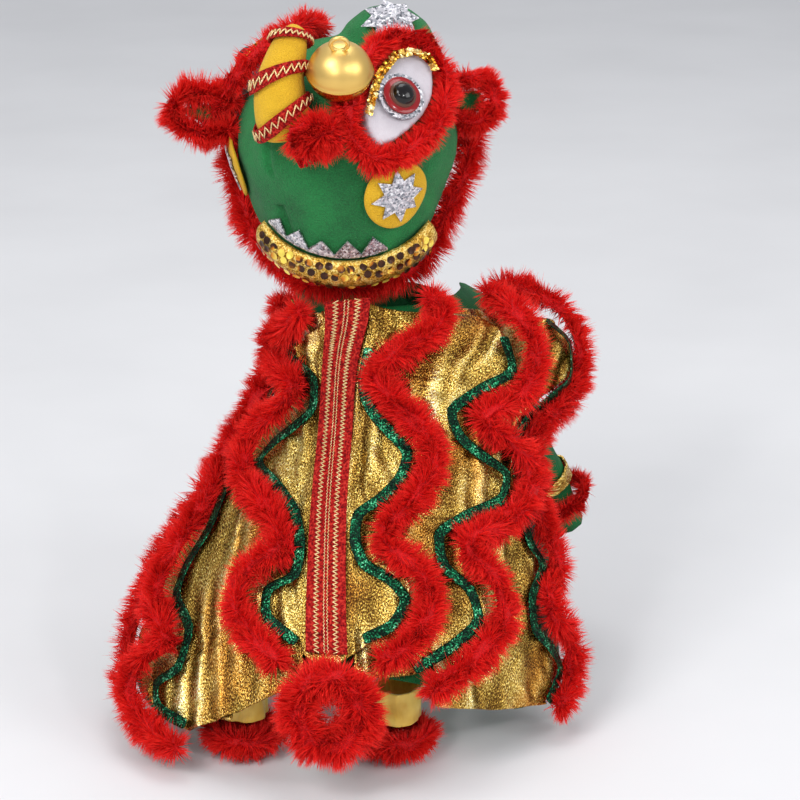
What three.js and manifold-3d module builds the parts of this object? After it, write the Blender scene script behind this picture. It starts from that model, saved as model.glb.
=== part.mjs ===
// Lion dance costume for a small pet: a lion-face hood and a cape of gold strips edged with red fur.
// Millimetres, +Z up. The wearer faces +Y, so -Y is the back of the cape. The origin is the neck seat.
import * as THREE from "three";
import Module from "manifold-3d";
import { mergeVertices } from "three/addons/utils/BufferGeometryUtils.js";

const wasm = await Module();
wasm.setup();

// Driving sizes of the cape. Heights are measured from the floor that the hem rests on.
const SEAT = { x: 14, y: 106, z: 206 };
const GAP = 0.4;
const CLOTH = 1.2;
const BASE_WALL = 1.6;
const CAPE_HALF_WIDTH = 150;
const BRAID_WIDTH = 19;
const TAPE_WIDTH = 6;
const STRIP_FROM_FUR = 9.6;
const TAPE_FROM_FUR = 12.2;

// Lift of the underside of each layer above the green base cloth.
const LAYER = { outer: 2.4, middle: 5.6, center: 9.2 };
const FOLD = { outer: 0.8, middle: 0.8, center: 1.2 };

// Fur edging: half width, height and the share by which a lock stands out or falls back.
const EDGE_FUR = { half: 8.4, tall: 10, lock: 0.14, sides: 5, pitch: 16 };

// Driving sizes of the hood, whose centre is given in the same frame as the cape.
const HOOD = { x: 1, y: 100, z: 279, radius: 60, wall: 3, chin: 8, pinch: 7, rim: 106, notch: 20 };
const CROWN = { x: 21, y: 2, z: 48, radius: 28 };
const CROWN_STAR = { azimuth: 8, elevation: 54, outer: 17.5, inner: 10, points: 8, turn: 8 };
const LIP = { from: 85.5, to: 101, half: 45, puff: 8 };
const LIP_TAPE = { from: 101.8, to: 104.8, half: 44, thick: 1.4 };
const TEETH = { foot: 84.6, count: 5, from: -41, to: 19, tall: 8.5, short: 5.5 };
const CHEEK = { radius: 18, thick: 2, star: 15, points: 8 };
const EYE = { stand: 9, ring: 12.5, flange: 10, rim: 7, dome: 5.6 };
const BELL = { radius: 16, loop: 4.2, wire: 1.1, tall: 0.92, tilt: 33 };

// One row for each level of the worn cape: distance down the back, height, centre, half widths, spine angle.
const BACK = [
  { down: 0, z: 206, cx: 14, cy: 106, rx: 44, ry: 38, spine: -14 },
  { down: 38, z: 180, cx: 41, cy: 104, rx: 62, ry: 60, spine: -36 },
  { down: 92, z: 140, cx: 33, cy: 97, rx: 70, ry: 84, spine: -28 },
  { down: 144, z: 100, cx: 21, cy: 78, rx: 88, ry: 100, spine: -17 },
  { down: 196, z: 60, cx: 9, cy: 50, rx: 106, ry: 106, spine: -8 },
  { down: 240, z: 20, cx: 2, cy: 34, rx: 115, ry: 110, spine: -3 },
  { down: 262, z: 2, cx: 1, cy: 28, rx: 119, ry: 112, spine: -2 },
];

// The vest is a tube inside the cape, one row for each level.
const VEST = [
  { z: 197, cx: 17, cy: 108, rx: 36, ry: 33 },
  { z: 172, cx: 40, cy: 112, rx: 48, ry: 46 },
  { z: 136, cx: 37, cy: 112, rx: 51, ry: 52 },
  { z: 104, cx: 33, cy: 108, rx: 53, ry: 57 },
];

// Hem of the base cloth: raised behind, where the tail and the rear cuffs come out.
const HEM = [
  { across: -150, down: 240 },
  { across: -90, down: 244 },
  { across: -60, down: 228 },
  { across: -30, down: 208 },
  { across: 0, down: 204 },
  { across: 30, down: 206 },
  { across: 60, down: 216 },
  { across: 100, down: 236 },
  { across: 150, down: 242 },
];

// Scalloped edge of each strip, one row for each crest, notch or bend: mm down the back, mm from the spine.
const EDGE = {
  center_right: [
    { down: 8, across: 34, flare: 0 },
    { down: 24, across: 47, flare: 1 },
    { down: 34, across: 31, flare: 1 },
    { down: 50, across: 18, flare: 0 },
    { down: 66, across: 29, flare: 0 },
    { down: 94, across: 51, flare: 1 },
    { down: 122, across: 41, flare: 0 },
    { down: 139, across: 22, flare: 0 },
    { down: 155, across: 45, flare: 0 },
    { down: 172, across: 50, flare: 1 },
    { down: 191, across: 40, flare: 0 },
    { down: 200, across: 22, flare: 0 },
  ],
  center_left: [
    { down: 6, across: -18, flare: 0 },
    { down: 26, across: -36, flare: 1 },
    { down: 50, across: -56, flare: 5 },
    { down: 64, across: -42, flare: 2 },
    { down: 68, across: -22, flare: 0 },
    { down: 84, across: -36, flare: 0 },
    { down: 105, across: -56, flare: 1 },
    { down: 125, across: -62, flare: 1 },
    { down: 134, across: -35, flare: 0 },
    { down: 149, across: -20, flare: 0 },
    { down: 168, across: -45, flare: 0 },
    { down: 187, across: -45, flare: 0 },
    { down: 203, across: -20, flare: 0 },
  ],
  right_1: [
    { down: 12, across: 70, flare: 0 },
    { down: 28, across: 86, flare: 4 },
    { down: 49, across: 96, flare: 5 },
    { down: 68, across: 88, flare: 2 },
    { down: 70, across: 67, flare: 0 },
    { down: 86, across: 82, flare: 0 },
    { down: 104, across: 103, flare: 2 },
    { down: 128, across: 108, flare: 2 },
    { down: 139, across: 84, flare: 0 },
    { down: 142, across: 64, flare: 0 },
    { down: 166, across: 84, flare: 1 },
    { down: 188, across: 87, flare: 1 },
    { down: 202, across: 71, flare: 0 },
    { down: 214, across: 44, flare: 0 },
  ],
  left_1: [
    { down: 14, across: -56, flare: 0 },
    { down: 40, across: -92, flare: 2 },
    { down: 64, across: -98, flare: 2 },
    { down: 78, across: -78, flare: 0 },
    { down: 104, across: -88, flare: 0 },
    { down: 130, across: -90, flare: 1 },
    { down: 152, across: -92, flare: 1 },
    { down: 184, across: -108, flare: 2 },
    { down: 200, across: -108, flare: 2 },
    { down: 204, across: -86, flare: 0 },
    { down: 224, across: -112, flare: 1 },
    { down: 238, across: -118, flare: 2 },
    { down: 251, across: -96, flare: 0 },
    { down: 252, across: -74, flare: 0 },
  ],
  right_2: [
    { down: 14, across: 100, flare: 0 },
    { down: 30, across: 128, flare: 8 },
    { down: 52, across: 142, flare: 13 },
    { down: 74, across: 136, flare: 10 },
    { down: 92, across: 112, flare: 1 },
    { down: 118, across: 118, flare: 0 },
    { down: 148, across: 123, flare: 1 },
    { down: 172, across: 137, flare: 2 },
    { down: 190, across: 120, flare: 0 },
    { down: 214, across: 143, flare: 2 },
    { down: 232, across: 142, flare: 2 },
    { down: 247, across: 128, flare: 0 },
  ],
  left_2: [
    { down: 16, across: -84, flare: 0 },
    { down: 34, across: -118, flare: 2 },
    { down: 60, across: -128, flare: 2 },
    { down: 88, across: -116, flare: 0 },
    { down: 120, across: -124, flare: 1 },
    { down: 150, across: -120, flare: 0 },
    { down: 182, across: -134, flare: 1 },
    { down: 208, across: -142, flare: 1 },
    { down: 232, across: -143, flare: 1 },
    { down: 247, across: -130, flare: 0 },
  ],
};

// Sewn edge of each side strip, hidden under the strip that overlaps it.
const SEWN = {
  right_1: { across: 12, from: 8, to: 206 },
  left_1: { across: -12, from: 8, to: 208 },
  right_2: { across: 50, from: 10, to: 222 },
  left_2: { across: -50, from: 10, to: 232 },
};

// Foreleg sleeve, one row for each section from the armhole to the open end.
const SLEEVE = [
  { x: 80, y: 96, z: 140, radius: 17 },
  { x: 96, y: 104, z: 114, radius: 15 },
  { x: 109, y: 112, z: 90, radius: 12.5 },
  { x: 121, y: 119, z: 62, radius: 11 },
];
const SLEEVE_WALL = 1.4;
const CUFF = { from: 0.6, to: 0.69, fur: 0.8, half: 4.8 };
const FACING = { x: 38, y: 104, turn: 30 };

// Rear leg cuffs: satin tube and fur ring that stands on the floor.
const REAR = [
  { side: "left", x: -50, y: -34 },
  { side: "right", x: 27, y: -38 },
];
const REAR_CUFF = { radius: 12.5, wall: 1.2, from: 20.4, to: 38, fur: 8, ring: 15 };
const TAIL = { x: -5, y: -84, z: 45, ring: 16, half: 10.5, lean: 14 };

// Ears, horn, cheeks, nose and bell: positions are measured from the centre of the hood.
const EARS = [
  { side: "right", x: 64, y: 2, z: 25, wide: 9, tall: 8, flip: 1 },
  { side: "left", x: -72, y: -4, z: 20, wide: 14.2, tall: 6.7, flip: -1 },
];
const EAR_FUR = { half: 6.2, tall: 6.2, lock: 0.16, sides: 6, from: 4.5 };
const HORN = [
  { x: -29, y: -53, z: 20, radius: 13.5 },
  { x: -31.5, y: -54, z: 33, radius: 14.5 },
  { x: -32, y: -53, z: 45, radius: 13 },
  { x: -29.5, y: -49, z: 56, radius: 11 },
  { x: -26, y: -44, z: 65.5, radius: 9.2 },
  { x: -23.5, y: -40, z: 71, radius: 6 },
];
const HORN_BRAID = { width: 6.5, thick: 1.3 };

// Braids of the horn: how far up it each one sits, and by how much its right side is drawn up.
const HORN_BRAIDS = [
  { at: 0.17, slant: 0.13 },
  { at: 0.5, slant: 0.12 },
  { at: 0.84, slant: 0.06 },
];
const CHEEKS = [
  { side: "right", azimuth: 26, elevation: -10, turn: 10 },
  { side: "left", azimuth: -82, elevation: -6, turn: 30 },
];
const NOSE_TUFT = { x: -14, y: -66, z: 23, wide: 20, deep: 11, tall: 12 };
const BELL_AT = { x: -2, y: -57, z: 53 };

// Leaf outline of the eye, seen from outside, one row for each bend: mm right and up from the eyeball.
const EYE_LEAF = [
  { x: -18, y: -24, trim: false },
  { x: -22, y: -7, trim: true },
  { x: -11, y: 12, trim: true },
  { x: 5, y: 25, trim: true },
  { x: 28, y: 23, trim: true },
  { x: 25, y: 6, trim: false },
  { x: 14, y: -9, trim: false },
  { x: -2, y: -19, trim: false },
];
const EYES = [
  { side: "right", azimuth: 29, elevation: 34, flip: 1 },
  { side: "left", azimuth: -112, elevation: 38, flip: -1 },
];
const EYE_FUR = { half: 6.8, tall: 7.4, lock: 0.15, sides: 5, out: 7.4, steps: 14 };

const PAINT = {
  gold: { color: 0xc79a3a, roughness: 0.32, metalness: 0.9 },
  fur: { color: 0xc8101a, roughness: 0.95, metalness: 0 },
  green_cloth: { color: 0x0b6a3a, roughness: 0.6, metalness: 0 },
  green_tape: { color: 0x0c7a45, roughness: 0.3, metalness: 0.8 },
  plush: { color: 0x0f7a43, roughness: 0.95, metalness: 0 },
  braid: { color: 0xa51c22, roughness: 0.7, metalness: 0.1 },
  yellow: { color: 0xe0ad2a, roughness: 0.85, metalness: 0 },
  silver: { color: 0xc9ccd2, roughness: 0.3, metalness: 0.9 },
  white: { color: 0xf2efec, roughness: 0.5, metalness: 0 },
  brass: { color: 0xd9ab55, roughness: 0.2, metalness: 1 },
  eye: { color: 0x0b0a0c, roughness: 0.08, metalness: 0 },
};

const costume = new THREE.Group();
costume.name = "lion_dance_costume";
const placed = new THREE.Group();
placed.position.set(-SEAT.x, -SEAT.y, -SEAT.z);
costume.add(placed);

const vec = (x, y, z) => new THREE.Vector3(x, y, z);
const rad = THREE.MathUtils.degToRad;
const mix = THREE.MathUtils.lerp;
const range = (n) => Array.from({ length: n }, (_, i) => i);

function scatter(i, j) {
  const s = Math.sin(i * 12.9898 + j * 78.233) * 43758.5453;
  return s - Math.floor(s);
}

// Smooth value of one column of a table at x: a cubic between rows, with slopes from the rows around.
function column(table, key, name, x) {
  const last = table.length - 1;
  let i = 0;
  while (i < last - 1 && x > table[i + 1][key]) i += 1;
  const slope = (k) => {
    const a = table[Math.max(k - 1, 0)];
    const b = table[Math.min(k + 1, last)];
    return (b[name] - a[name]) / (b[key] - a[key]);
  };
  const h = table[i + 1][key] - table[i][key];
  const t = (x - table[i][key]) / h;
  const rise = t * t * (3 - 2 * t);
  const bend = h * ((t ** 3 - 2 * t * t + t) * slope(i) + (t ** 3 - t * t) * slope(i + 1));
  return mix(table[i][name], table[i + 1][name], rise) + bend;
}

// Point of a curve at t, carried on straight before its start and past its end.
function onCurve(curve, t) {
  const held = Math.min(1, Math.max(0, t));
  const point = curve.getPoint(held);
  return point.addScaledVector(curve.getTangent(held), (t - held) * curve.getLength());
}

// A closed solid from corner points and faces, turned to face out.
function solidOf(points, faces) {
  const geometry = new THREE.BufferGeometry().setFromPoints(points);
  geometry.setIndex(faces);
  return solidFrom(geometry);
}

function solidFrom(source) {
  const geometry = source.clone();
  geometry.deleteAttribute("normal");
  geometry.deleteAttribute("uv");
  const merged = mergeVertices(geometry, 1e-4);
  const make = (index) => {
    const triVerts = new Uint32Array(index);
    const vertProperties = merged.attributes.position.array;
    return new wasm.Manifold(new wasm.Mesh({ numProp: 3, vertProperties, triVerts }));
  };
  const index = Array.from(merged.index.array);
  const made = make(index);
  if (made.volume() > 0) return made;
  return make(index.reverse());
}

function largest(solid) {
  const bodies = solid.decompose();
  return bodies.reduce((a, b) => (b.volume() > a.volume() ? b : a));
}

function cut(solid, ...tools) {
  return largest(tools.reduce((left, tool) => left.subtract(tool), solid));
}

function add(name, solid, paint) {
  const data = solid.getMesh();
  const geometry = new THREE.BufferGeometry();
  geometry.setAttribute("position", new THREE.BufferAttribute(data.vertProperties, 3));
  geometry.setIndex(new THREE.BufferAttribute(data.triVerts, 1));
  geometry.computeVertexNormals();
  const mesh = new THREE.Mesh(geometry, new THREE.MeshStandardMaterial(PAINT[paint]));
  mesh.name = name;
  placed.add(mesh);
}

function quad(faces, a, b, c, d) {
  faces.push(a, b, c, a, c, d);
}

// A cloth wall between two lifts of a surface. at(r, c, lift) gives the point, r and c run from 0 to 1.
function wall(at, rows, cols, low, high, round = false) {
  const n = round ? cols : cols + 1;
  const points = [];
  const faces = [];
  for (const lift of [high, low])
    for (const i of range(rows + 1))
      for (const j of range(n)) points.push(at(i / rows, j / cols, lift));
  const id = (side, i, j) => side * (rows + 1) * n + i * n + (j % n);
  for (const i of range(rows))
    for (const j of range(cols)) {
      quad(faces, id(0, i, j), id(0, i + 1, j), id(0, i + 1, j + 1), id(0, i, j + 1));
      quad(faces, id(1, i, j), id(1, i, j + 1), id(1, i + 1, j + 1), id(1, i + 1, j));
    }
  for (const j of range(cols)) {
    quad(faces, id(0, 0, j), id(0, 0, j + 1), id(1, 0, j + 1), id(1, 0, j));
    quad(faces, id(0, rows, j), id(1, rows, j), id(1, rows, j + 1), id(0, rows, j + 1));
  }
  if (!round)
    for (const i of range(rows)) {
      quad(faces, id(0, i, 0), id(1, i, 0), id(1, i + 1, 0), id(0, i + 1, 0));
      quad(faces, id(0, i, cols), id(0, i + 1, cols), id(1, i + 1, cols), id(1, i, cols));
    }
  return solidOf(points, faces);
}

// A flat or domed applique inside a closed outline, with rings of points from its middle to the outline.
function applique(at, outline, rings, low, high) {
  const n = outline.length;
  const points = [at(0, 0, high), at(0, 0, low)];
  const faces = [];
  for (const lift of [high, low])
    for (const i of range(rings)) {
      const k = (i + 1) / rings;
      for (const p of outline) points.push(at(p.x * k, p.y * k, lift));
    }
  const id = (side, i, j) => 2 + side * rings * n + i * n + (j % n);
  for (const j of range(n)) {
    faces.push(0, id(0, 0, j), id(0, 0, j + 1), 1, id(1, 0, j + 1), id(1, 0, j));
    for (const i of range(rings - 1)) {
      quad(faces, id(0, i, j), id(0, i + 1, j), id(0, i + 1, j + 1), id(0, i, j + 1));
      quad(faces, id(1, i, j), id(1, i, j + 1), id(1, i + 1, j + 1), id(1, i + 1, j));
    }
    quad(faces, id(0, rings - 1, j), id(1, rings - 1, j), id(1, rings - 1, j + 1), id(0, rings - 1, j + 1));
  }
  return solidOf(points, faces);
}

// A section carried along a path. section(k, j) gives the offsets along the side and along the up direction.
function sweep(path, ups, sides, section, closed, bulge = 0) {
  const n = path.length;
  const points = [];
  const faces = [];
  const along = (k) => {
    const a = closed ? path[(k + n - 1) % n] : path[Math.max(k - 1, 0)];
    const b = closed ? path[(k + 1) % n] : path[Math.min(k + 1, n - 1)];
    return b.clone().sub(a).normalize();
  };
  for (const k of range(n)) {
    const t = along(k);
    const up = ups[k].clone().addScaledVector(t, -ups[k].dot(t)).normalize();
    const side = t.clone().cross(up);
    for (const j of range(sides)) {
      const [s, u] = section(k, j);
      points.push(path[k].clone().addScaledVector(side, s).addScaledVector(up, u));
    }
  }
  const id = (k, j) => (k % n) * sides + (j % sides);
  for (const k of range(closed ? n : n - 1))
    for (const j of range(sides)) quad(faces, id(k, j), id(k + 1, j), id(k + 1, j + 1), id(k, j + 1));
  if (!closed)
    for (const [k, way] of [
      [0, -1],
      [n - 1, 1],
    ]) {
      const mid = range(sides).reduce((sum, j) => sum.add(points[id(k, j)]), vec(0, 0, 0));
      points.push(mid.multiplyScalar(1 / sides).addScaledVector(along(k), way * bulge));
      for (const j of range(sides)) {
        const edge = way > 0 ? [id(k, j), id(k, j + 1)] : [id(k, j + 1), id(k, j)];
        faces.push(points.length - 1, edge[1], edge[0]);
      }
    }
  return solidOf(points, faces);
}

// Fur body: locks stand out and fall back by turns, fused to the backing they grow from.
function furSection(spec, grow, flat) {
  return (k, j) => {
    const turn = flat ? mix(rad(-15), rad(195), j / (spec.sides - 1)) : (2 * Math.PI * j) / spec.sides;
    const sway = ((k + j) % 2 ? 1 : -1) * (0.65 + 0.35 * scatter(k, j));
    const size = grow > 0 ? 1 + spec.lock : 1 + spec.lock * sway;
    return [Math.cos(turn) * (spec.half * size + grow), Math.sin(turn) * (spec.tall * size + grow)];
  };
}

// The worn surface of the cape at a distance down the back and a distance from the spine.
function capeBase(down, across) {
  const at = (name) => column(BACK, "down", name, down);
  const rx = at("rx");
  const ry = at("ry");
  const turn = rad(at("spine")) + (2 * across) / (rx + ry);
  return vec(at("cx") + rx * Math.sin(turn), at("cy") - ry * Math.cos(turn), at("z"));
}

function capeUp(down, across) {
  const a = capeBase(down + 0.5, across).sub(capeBase(down - 0.5, across));
  const b = capeBase(down, across + 0.5).sub(capeBase(down, across - 0.5));
  return a.cross(b).normalize();
}

function cape(down, across, lift) {
  return capeBase(down, across).addScaledVector(capeUp(down, across), lift);
}

// Curve of a strip edge in the flat pattern: x is down, y is across, z is the flare away from the body.
function edgeCurve(rows) {
  return new THREE.CatmullRomCurve3(
    rows.map((row) => vec(row.down, row.across, row.flare)),
    false,
    "centripetal",
  );
}

const curves = Object.fromEntries(Object.entries(EDGE).map(([name, rows]) => [name, edgeCurve(rows)]));

// Fur laid along a strip edge, standing on the layer below it.
function edgeFur(curve, floor, grow = 0) {
  const count = Math.round(curve.getLength() / EDGE_FUR.pitch);
  const flat = curve.getSpacedPoints(count);
  const rise = floor + GAP + EDGE_FUR.tall * 0.26 * (1 + EDGE_FUR.lock);
  const path = flat.map((p) => cape(p.x, p.y, rise + p.z));
  const ups = flat.map((p) => capeUp(p.x, p.y));
  return sweep(path, ups, EDGE_FUR.sides, furSection(EDGE_FUR, grow, true), false, 4 + grow);
}

// Gathers of the lame: soft folds that run down the back and fade towards the braid.
function gather(down, across, size) {
  const far = Math.min(1, Math.max(0, (Math.abs(across) - 13) / 12));
  return size * far * (0.5 + 0.5 * Math.sin(across * 0.32 + 2.2 * Math.sin(down * 0.03)));
}

// The edge curve moved inwards by a distance, without the places where it would cross itself.
function insetCurve(curve, inward, distance, from) {
  const fine = curve.getSpacedPoints(120);
  const moved = fine.map((p, i) => {
    const t = fine[Math.min(i + 1, 120)].clone().sub(fine[Math.max(i - 1, 0)]);
    t.z = 0;
    t.normalize();
    return vec(p.x + inward * t.y * distance, p.y - inward * t.x * distance, p.z);
  });
  const apart = (p) => Math.min(...fine.map((q) => Math.hypot(p.x - q.x, p.y - q.y)));
  const kept = moved.filter((p) => p.x > from && apart(p) > distance * 0.97);
  return new THREE.CatmullRomCurve3(kept, false, "centripetal");
}

// A strip of lame between its sewn line and its scalloped edge. The flare grows towards the edge.
function strip(inner, outer, rows, cols, layer) {
  const low = LAYER[layer];
  const at = (r, c, lift) => {
    const p = inner(r).lerp(outer(r), c);
    return cape(p.x, p.y, lift + p.z * c ** 1.5 + gather(p.x, p.y, FOLD[layer]));
  };
  return wall(at, rows, cols, low, low + CLOTH);
}

// Metallic tape sewn on the strip beside the fur, kept clear of the braid.
function tape(curve, inward, layer, grow = 0) {
  const path = insetCurve(curve, inward, TAPE_FROM_FUR, 34).getSpacedPoints(14);
  const lift = LAYER[layer] + CLOTH + FOLD[layer] + GAP + 0.5;
  const clear = (p) => inward * Math.max(inward * p.y, BRAID_WIDTH / 2 + TAPE_WIDTH / 2 + 1);
  const spine = path.map((p) => cape(p.x, clear(p), lift + 0.4 + p.z));
  const ups = path.map((p) => capeUp(p.x, clear(p)));
  const half = TAPE_WIDTH / 2 + grow;
  const section = (k, j) => [(j === 0 || j === 3 ? -1 : 1) * half, (j < 2 ? -1 : 1) * (0.45 + grow)];
  return sweep(spine, ups, 4, section, false, grow);
}

function buildCape() {
  const hemAt = (across) => column(HEM, "across", "down", across);
  const base = wall(
    (r, c, lift) => {
      const across = mix(-CAPE_HALF_WIDTH, CAPE_HALF_WIDTH, c) * mix(0.6, 1, Math.min(1, r * 5));
      return cape(mix(3, hemAt(across), r), across, lift);
    },
    10,
    12,
    -BASE_WALL,
    0,
  );
  add("cape_base", base, "green_cloth");

  const tapeRoom = 1.4;
  const topOf = (layer) => LAYER[layer] + CLOTH + FOLD[layer] + tapeRoom;
  const floors = {
    center_right: topOf("middle"),
    center_left: topOf("middle"),
    right_1: topOf("outer"),
    left_1: topOf("outer"),
    right_2: 0.8,
    left_2: 0.8,
  };
  const inward = (name) => (name.includes("right") ? 1 : -1);
  const tapes = {
    center_right: "center",
    center_left: "center",
    right_1: "middle",
    left_1: "middle",
    right_2: "outer",
  };
  const neighbours = {
    left_1: ["center_left"],
    right_1: ["center_right"],
    left_2: ["left_1", "center_left"],
    right_2: ["right_1"],
  };
  const grown = {};
  const fur = {};
  for (const [name, curve] of Object.entries(curves)) {
    grown[name] = edgeFur(curve, floors[name], GAP);
    const tools = (neighbours[name] ?? []).map((other) => grown[other]);
    if (tapes[name]) for (const grow of [GAP, 0]) tools.push(tape(curve, inward(name), tapes[name], grow));
    fur[name] = cut(edgeFur(curve, floors[name]), ...tools);
  }
  for (const [name, layer] of Object.entries(tapes))
    add("tape_" + name, tape(curves[name], inward(name), layer), "green_tape");

  const inset = (name) => insetCurve(curves[name], inward(name), STRIP_FROM_FUR, -9);
  const middle = (r) => vec(mix(2, 203, r), 0, 0);
  const left = inset("center_left");
  const right = inset("center_right");
  const low = LAYER.center;
  const center = wall(
    (r, c, lift) => {
      const outer = c < 0.5 ? left.getPointAt(r) : right.getPointAt(r);
      const far = Math.abs(2 * c - 1);
      const p = middle(r).lerp(outer, far);
      return cape(p.x, p.y, lift + p.z * far + gather(p.x, p.y, FOLD.center));
    },
    18,
    4,
    low,
    low + CLOTH,
  );
  const strips = { center: cut(center, grown.center_left, grown.center_right) };
  for (const [name, sewn] of Object.entries(SEWN)) {
    const layer = name.endsWith("1") ? "middle" : "outer";
    const inner = (r) => vec(mix(sewn.from, sewn.to, r), sewn.across, 0);
    const edge = inset(name);
    strips[name] = cut(strip(inner, (r) => edge.getPointAt(r), 19, 2, layer), grown[name]);
  }
  for (const [name, solid] of Object.entries(strips)) add("panel_" + name, solid, "gold");
  for (const [name, solid] of Object.entries(fur)) add("fur_" + name, solid, "fur");

  const braidLift = LAYER.center + CLOTH + FOLD.center + GAP;
  const braid = wall(
    (r, c, lift) => cape(mix(4, 196, r), mix(-BRAID_WIDTH / 2, BRAID_WIDTH / 2, c), lift),
    16,
    2,
    braidLift,
    braidLift + CLOTH,
  );
  add("braid_band", braid, "braid");
}

// Reflects a point across the upright plane that the wearer's chest faces along.
function mirrored(p) {
  const across = vec(Math.cos(rad(FACING.turn)), -Math.sin(rad(FACING.turn)), 0);
  const off = p.clone().sub(vec(FACING.x, FACING.y, 0)).dot(across);
  return p.clone().addScaledVector(across, -2 * off);
}

// Steps round a circle: the way out from its centre, and the point on it.
function ringAround(center, u, v, radius, steps) {
  return range(steps).map((i) => {
    const turn = (2 * Math.PI * i) / steps;
    const out = u.clone().multiplyScalar(Math.cos(turn)).addScaledVector(v, Math.sin(turn));
    return { out, point: center.clone().addScaledVector(out, radius) };
  });
}

// A closed ring of fur round a cuff, a tail or a rim.
function furRing(ring, half, sides, grow = 0) {
  const spec = { half, tall: half, lock: 0.15, sides };
  const path = ring.map((p) => p.point);
  const ups = ring.map((p) => p.out);
  return sweep(path, ups, sides, furSection(spec, grow, false), true);
}

// A band wrapped round a limb or a horn that follows a curve.
function bandOn(curve, radius, from, to, clear, thick, slant = 0) {
  const at = (r, c, lift) => {
    const turn = 2 * Math.PI * c;
    const t = mix(from, to, r) - slant * Math.sin(turn);
    const axis = curve.getTangent(Math.min(1, Math.max(0, t)));
    const a = vec(0, 1, 0).addScaledVector(axis, -axis.y).normalize();
    const b = axis.clone().cross(a);
    const out = a.multiplyScalar(Math.cos(turn)).addScaledVector(b, Math.sin(turn));
    return onCurve(curve, t).addScaledVector(out, radius(t) + lift);
  };
  return wall(at, 1, 11, clear, clear + thick, true);
}

function buildVest() {
  const around = (r, c, lift) => {
    const z = mix(VEST[0].z, VEST[3].z, r);
    const at = (name) => column([...VEST].reverse(), "z", name, z);
    const turn = c * 2 * Math.PI;
    const x = at("cx") + (at("rx") + lift) * Math.sin(turn);
    const y = at("cy") - (at("ry") + lift) * Math.cos(turn);
    return vec(x, y, z);
  };
  const vest = wall(around, 3, 12, -BASE_WALL, 0, true);
  const filled = wall(around, 3, 12, -20, GAP, true);
  const bores = [];
  for (const side of ["right", "left"]) {
    const place = side === "left" ? mirrored : (p) => p;
    const curve = new THREE.CatmullRomCurve3(SLEEVE.map((row) => place(vec(row.x, row.y, row.z))));
    const ups = (n) => range(n).map(() => vec(0, 1, 0));
    const radius = (t) => column(SLEEVE.map((row, i) => ({ ...row, t: i / 3 })), "t", "radius", t);
    const pipe = (from, to, steps, sides, grow) => {
      const path = range(steps + 1).map((i) => onCurve(curve, mix(from, to, i / steps)));
      const section = (k, j) => {
        const turn = (2 * Math.PI * j) / sides;
        const r = radius(mix(from, to, k / steps)) + grow;
        return [r * Math.cos(turn), r * Math.sin(turn)];
      };
      return sweep(path, ups(steps + 1), sides, section, false);
    };
    const bore = pipe(-0.06, 1.06, 4, 9, -SLEEVE_WALL);
    bores.push(pipe(-0.25, 0.3, 1, 9, -SLEEVE_WALL));
    add("sleeve_" + side, cut(pipe(0, 1, 4, 9, 0), bore, filled), "green_cloth");
    add("sleeve_cuff_" + side, bandOn(curve, radius, CUFF.from, CUFF.to, 3 * GAP, 1.4), "gold");
    const axis = curve.getTangent(CUFF.fur);
    const a = vec(0, 1, 0).addScaledVector(axis, -axis.y).normalize();
    const reach = radius(CUFF.fur) + 2 * GAP + CUFF.half * 1.2;
    const ring = ringAround(curve.getPoint(CUFF.fur), a, axis.clone().cross(a), reach, 12);
    add("sleeve_fur_" + side, furRing(ring, CUFF.half, 5), "fur");
  }
  add("vest", cut(vest, ...bores), "green_cloth");
}

function buildTailAndCuffs() {
  const lean = rad(TAIL.lean);
  const up = vec(0, Math.sin(lean), Math.cos(lean));
  const loop = ringAround(vec(TAIL.x, TAIL.y, TAIL.z), vec(1, 0, 0), up, TAIL.ring, 14);
  add("tail_fur", furRing(loop, TAIL.half, 6), "fur");
  for (const { side, x, y } of REAR) {
    const { radius, wall: thick, from, to, fur, ring } = REAR_CUFF;
    const at = (r, c, lift) => {
      const turn = c * 2 * Math.PI;
      const reach = radius + lift;
      return vec(x + reach * Math.sin(turn), y - reach * Math.cos(turn), mix(to, from, r));
    };
    add("rear_cuff_" + side, wall(at, 1, 11, -thick, 0, true), "yellow");
    const hem = ringAround(vec(x, y, fur * 1.15 + 1), vec(1, 0, 0), vec(0, 1, 0), ring, 12);
    add("rear_fur_" + side, furRing(hem, fur, 5), "fur");
  }
}

const hub = vec(HOOD.x, HOOD.y, HOOD.z);
const AXIS = vec(0, -0.73, 0.683).normalize();
const CHIN = vec(0, -0.683, -0.73).normalize();
const SIDE = vec(1, 0, 0);

// Radius of the hood in a direction: a ball that is drawn out towards the lip and pinched beside it.
function hoodRadius(dir) {
  const fall = Math.min(1, Math.max(0, (-dir.z - 0.25) / 0.6));
  const low = Math.min(1, Math.max(0, (0.1 - dir.z) / 0.5));
  return HOOD.radius + HOOD.chin * fall * fall * (3 - 2 * fall) - HOOD.pinch * low * dir.x * dir.x;
}

// Angle of the hood's rim from its axis at a turn about it: drawn in on the right, where the fur shows.
function rimAt(around) {
  const side = Math.min(1, Math.max(0, (Math.sin(rad(around)) - 0.74) / 0.26));
  return HOOD.rim - HOOD.notch * side * side * (3 - 2 * side);
}

function hoodAt(dir, lift) {
  return hub.clone().addScaledVector(dir, hoodRadius(dir) + lift);
}

// Direction by the angle from the hood's axis and the turn about it: 0 is the chin, 90 the right side.
function byAxis(polar, around) {
  const p = rad(polar);
  const a = rad(around);
  return AXIS.clone()
    .multiplyScalar(Math.cos(p))
    .addScaledVector(CHIN, Math.sin(p) * Math.cos(a))
    .addScaledVector(SIDE, Math.sin(p) * Math.sin(a));
}

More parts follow.
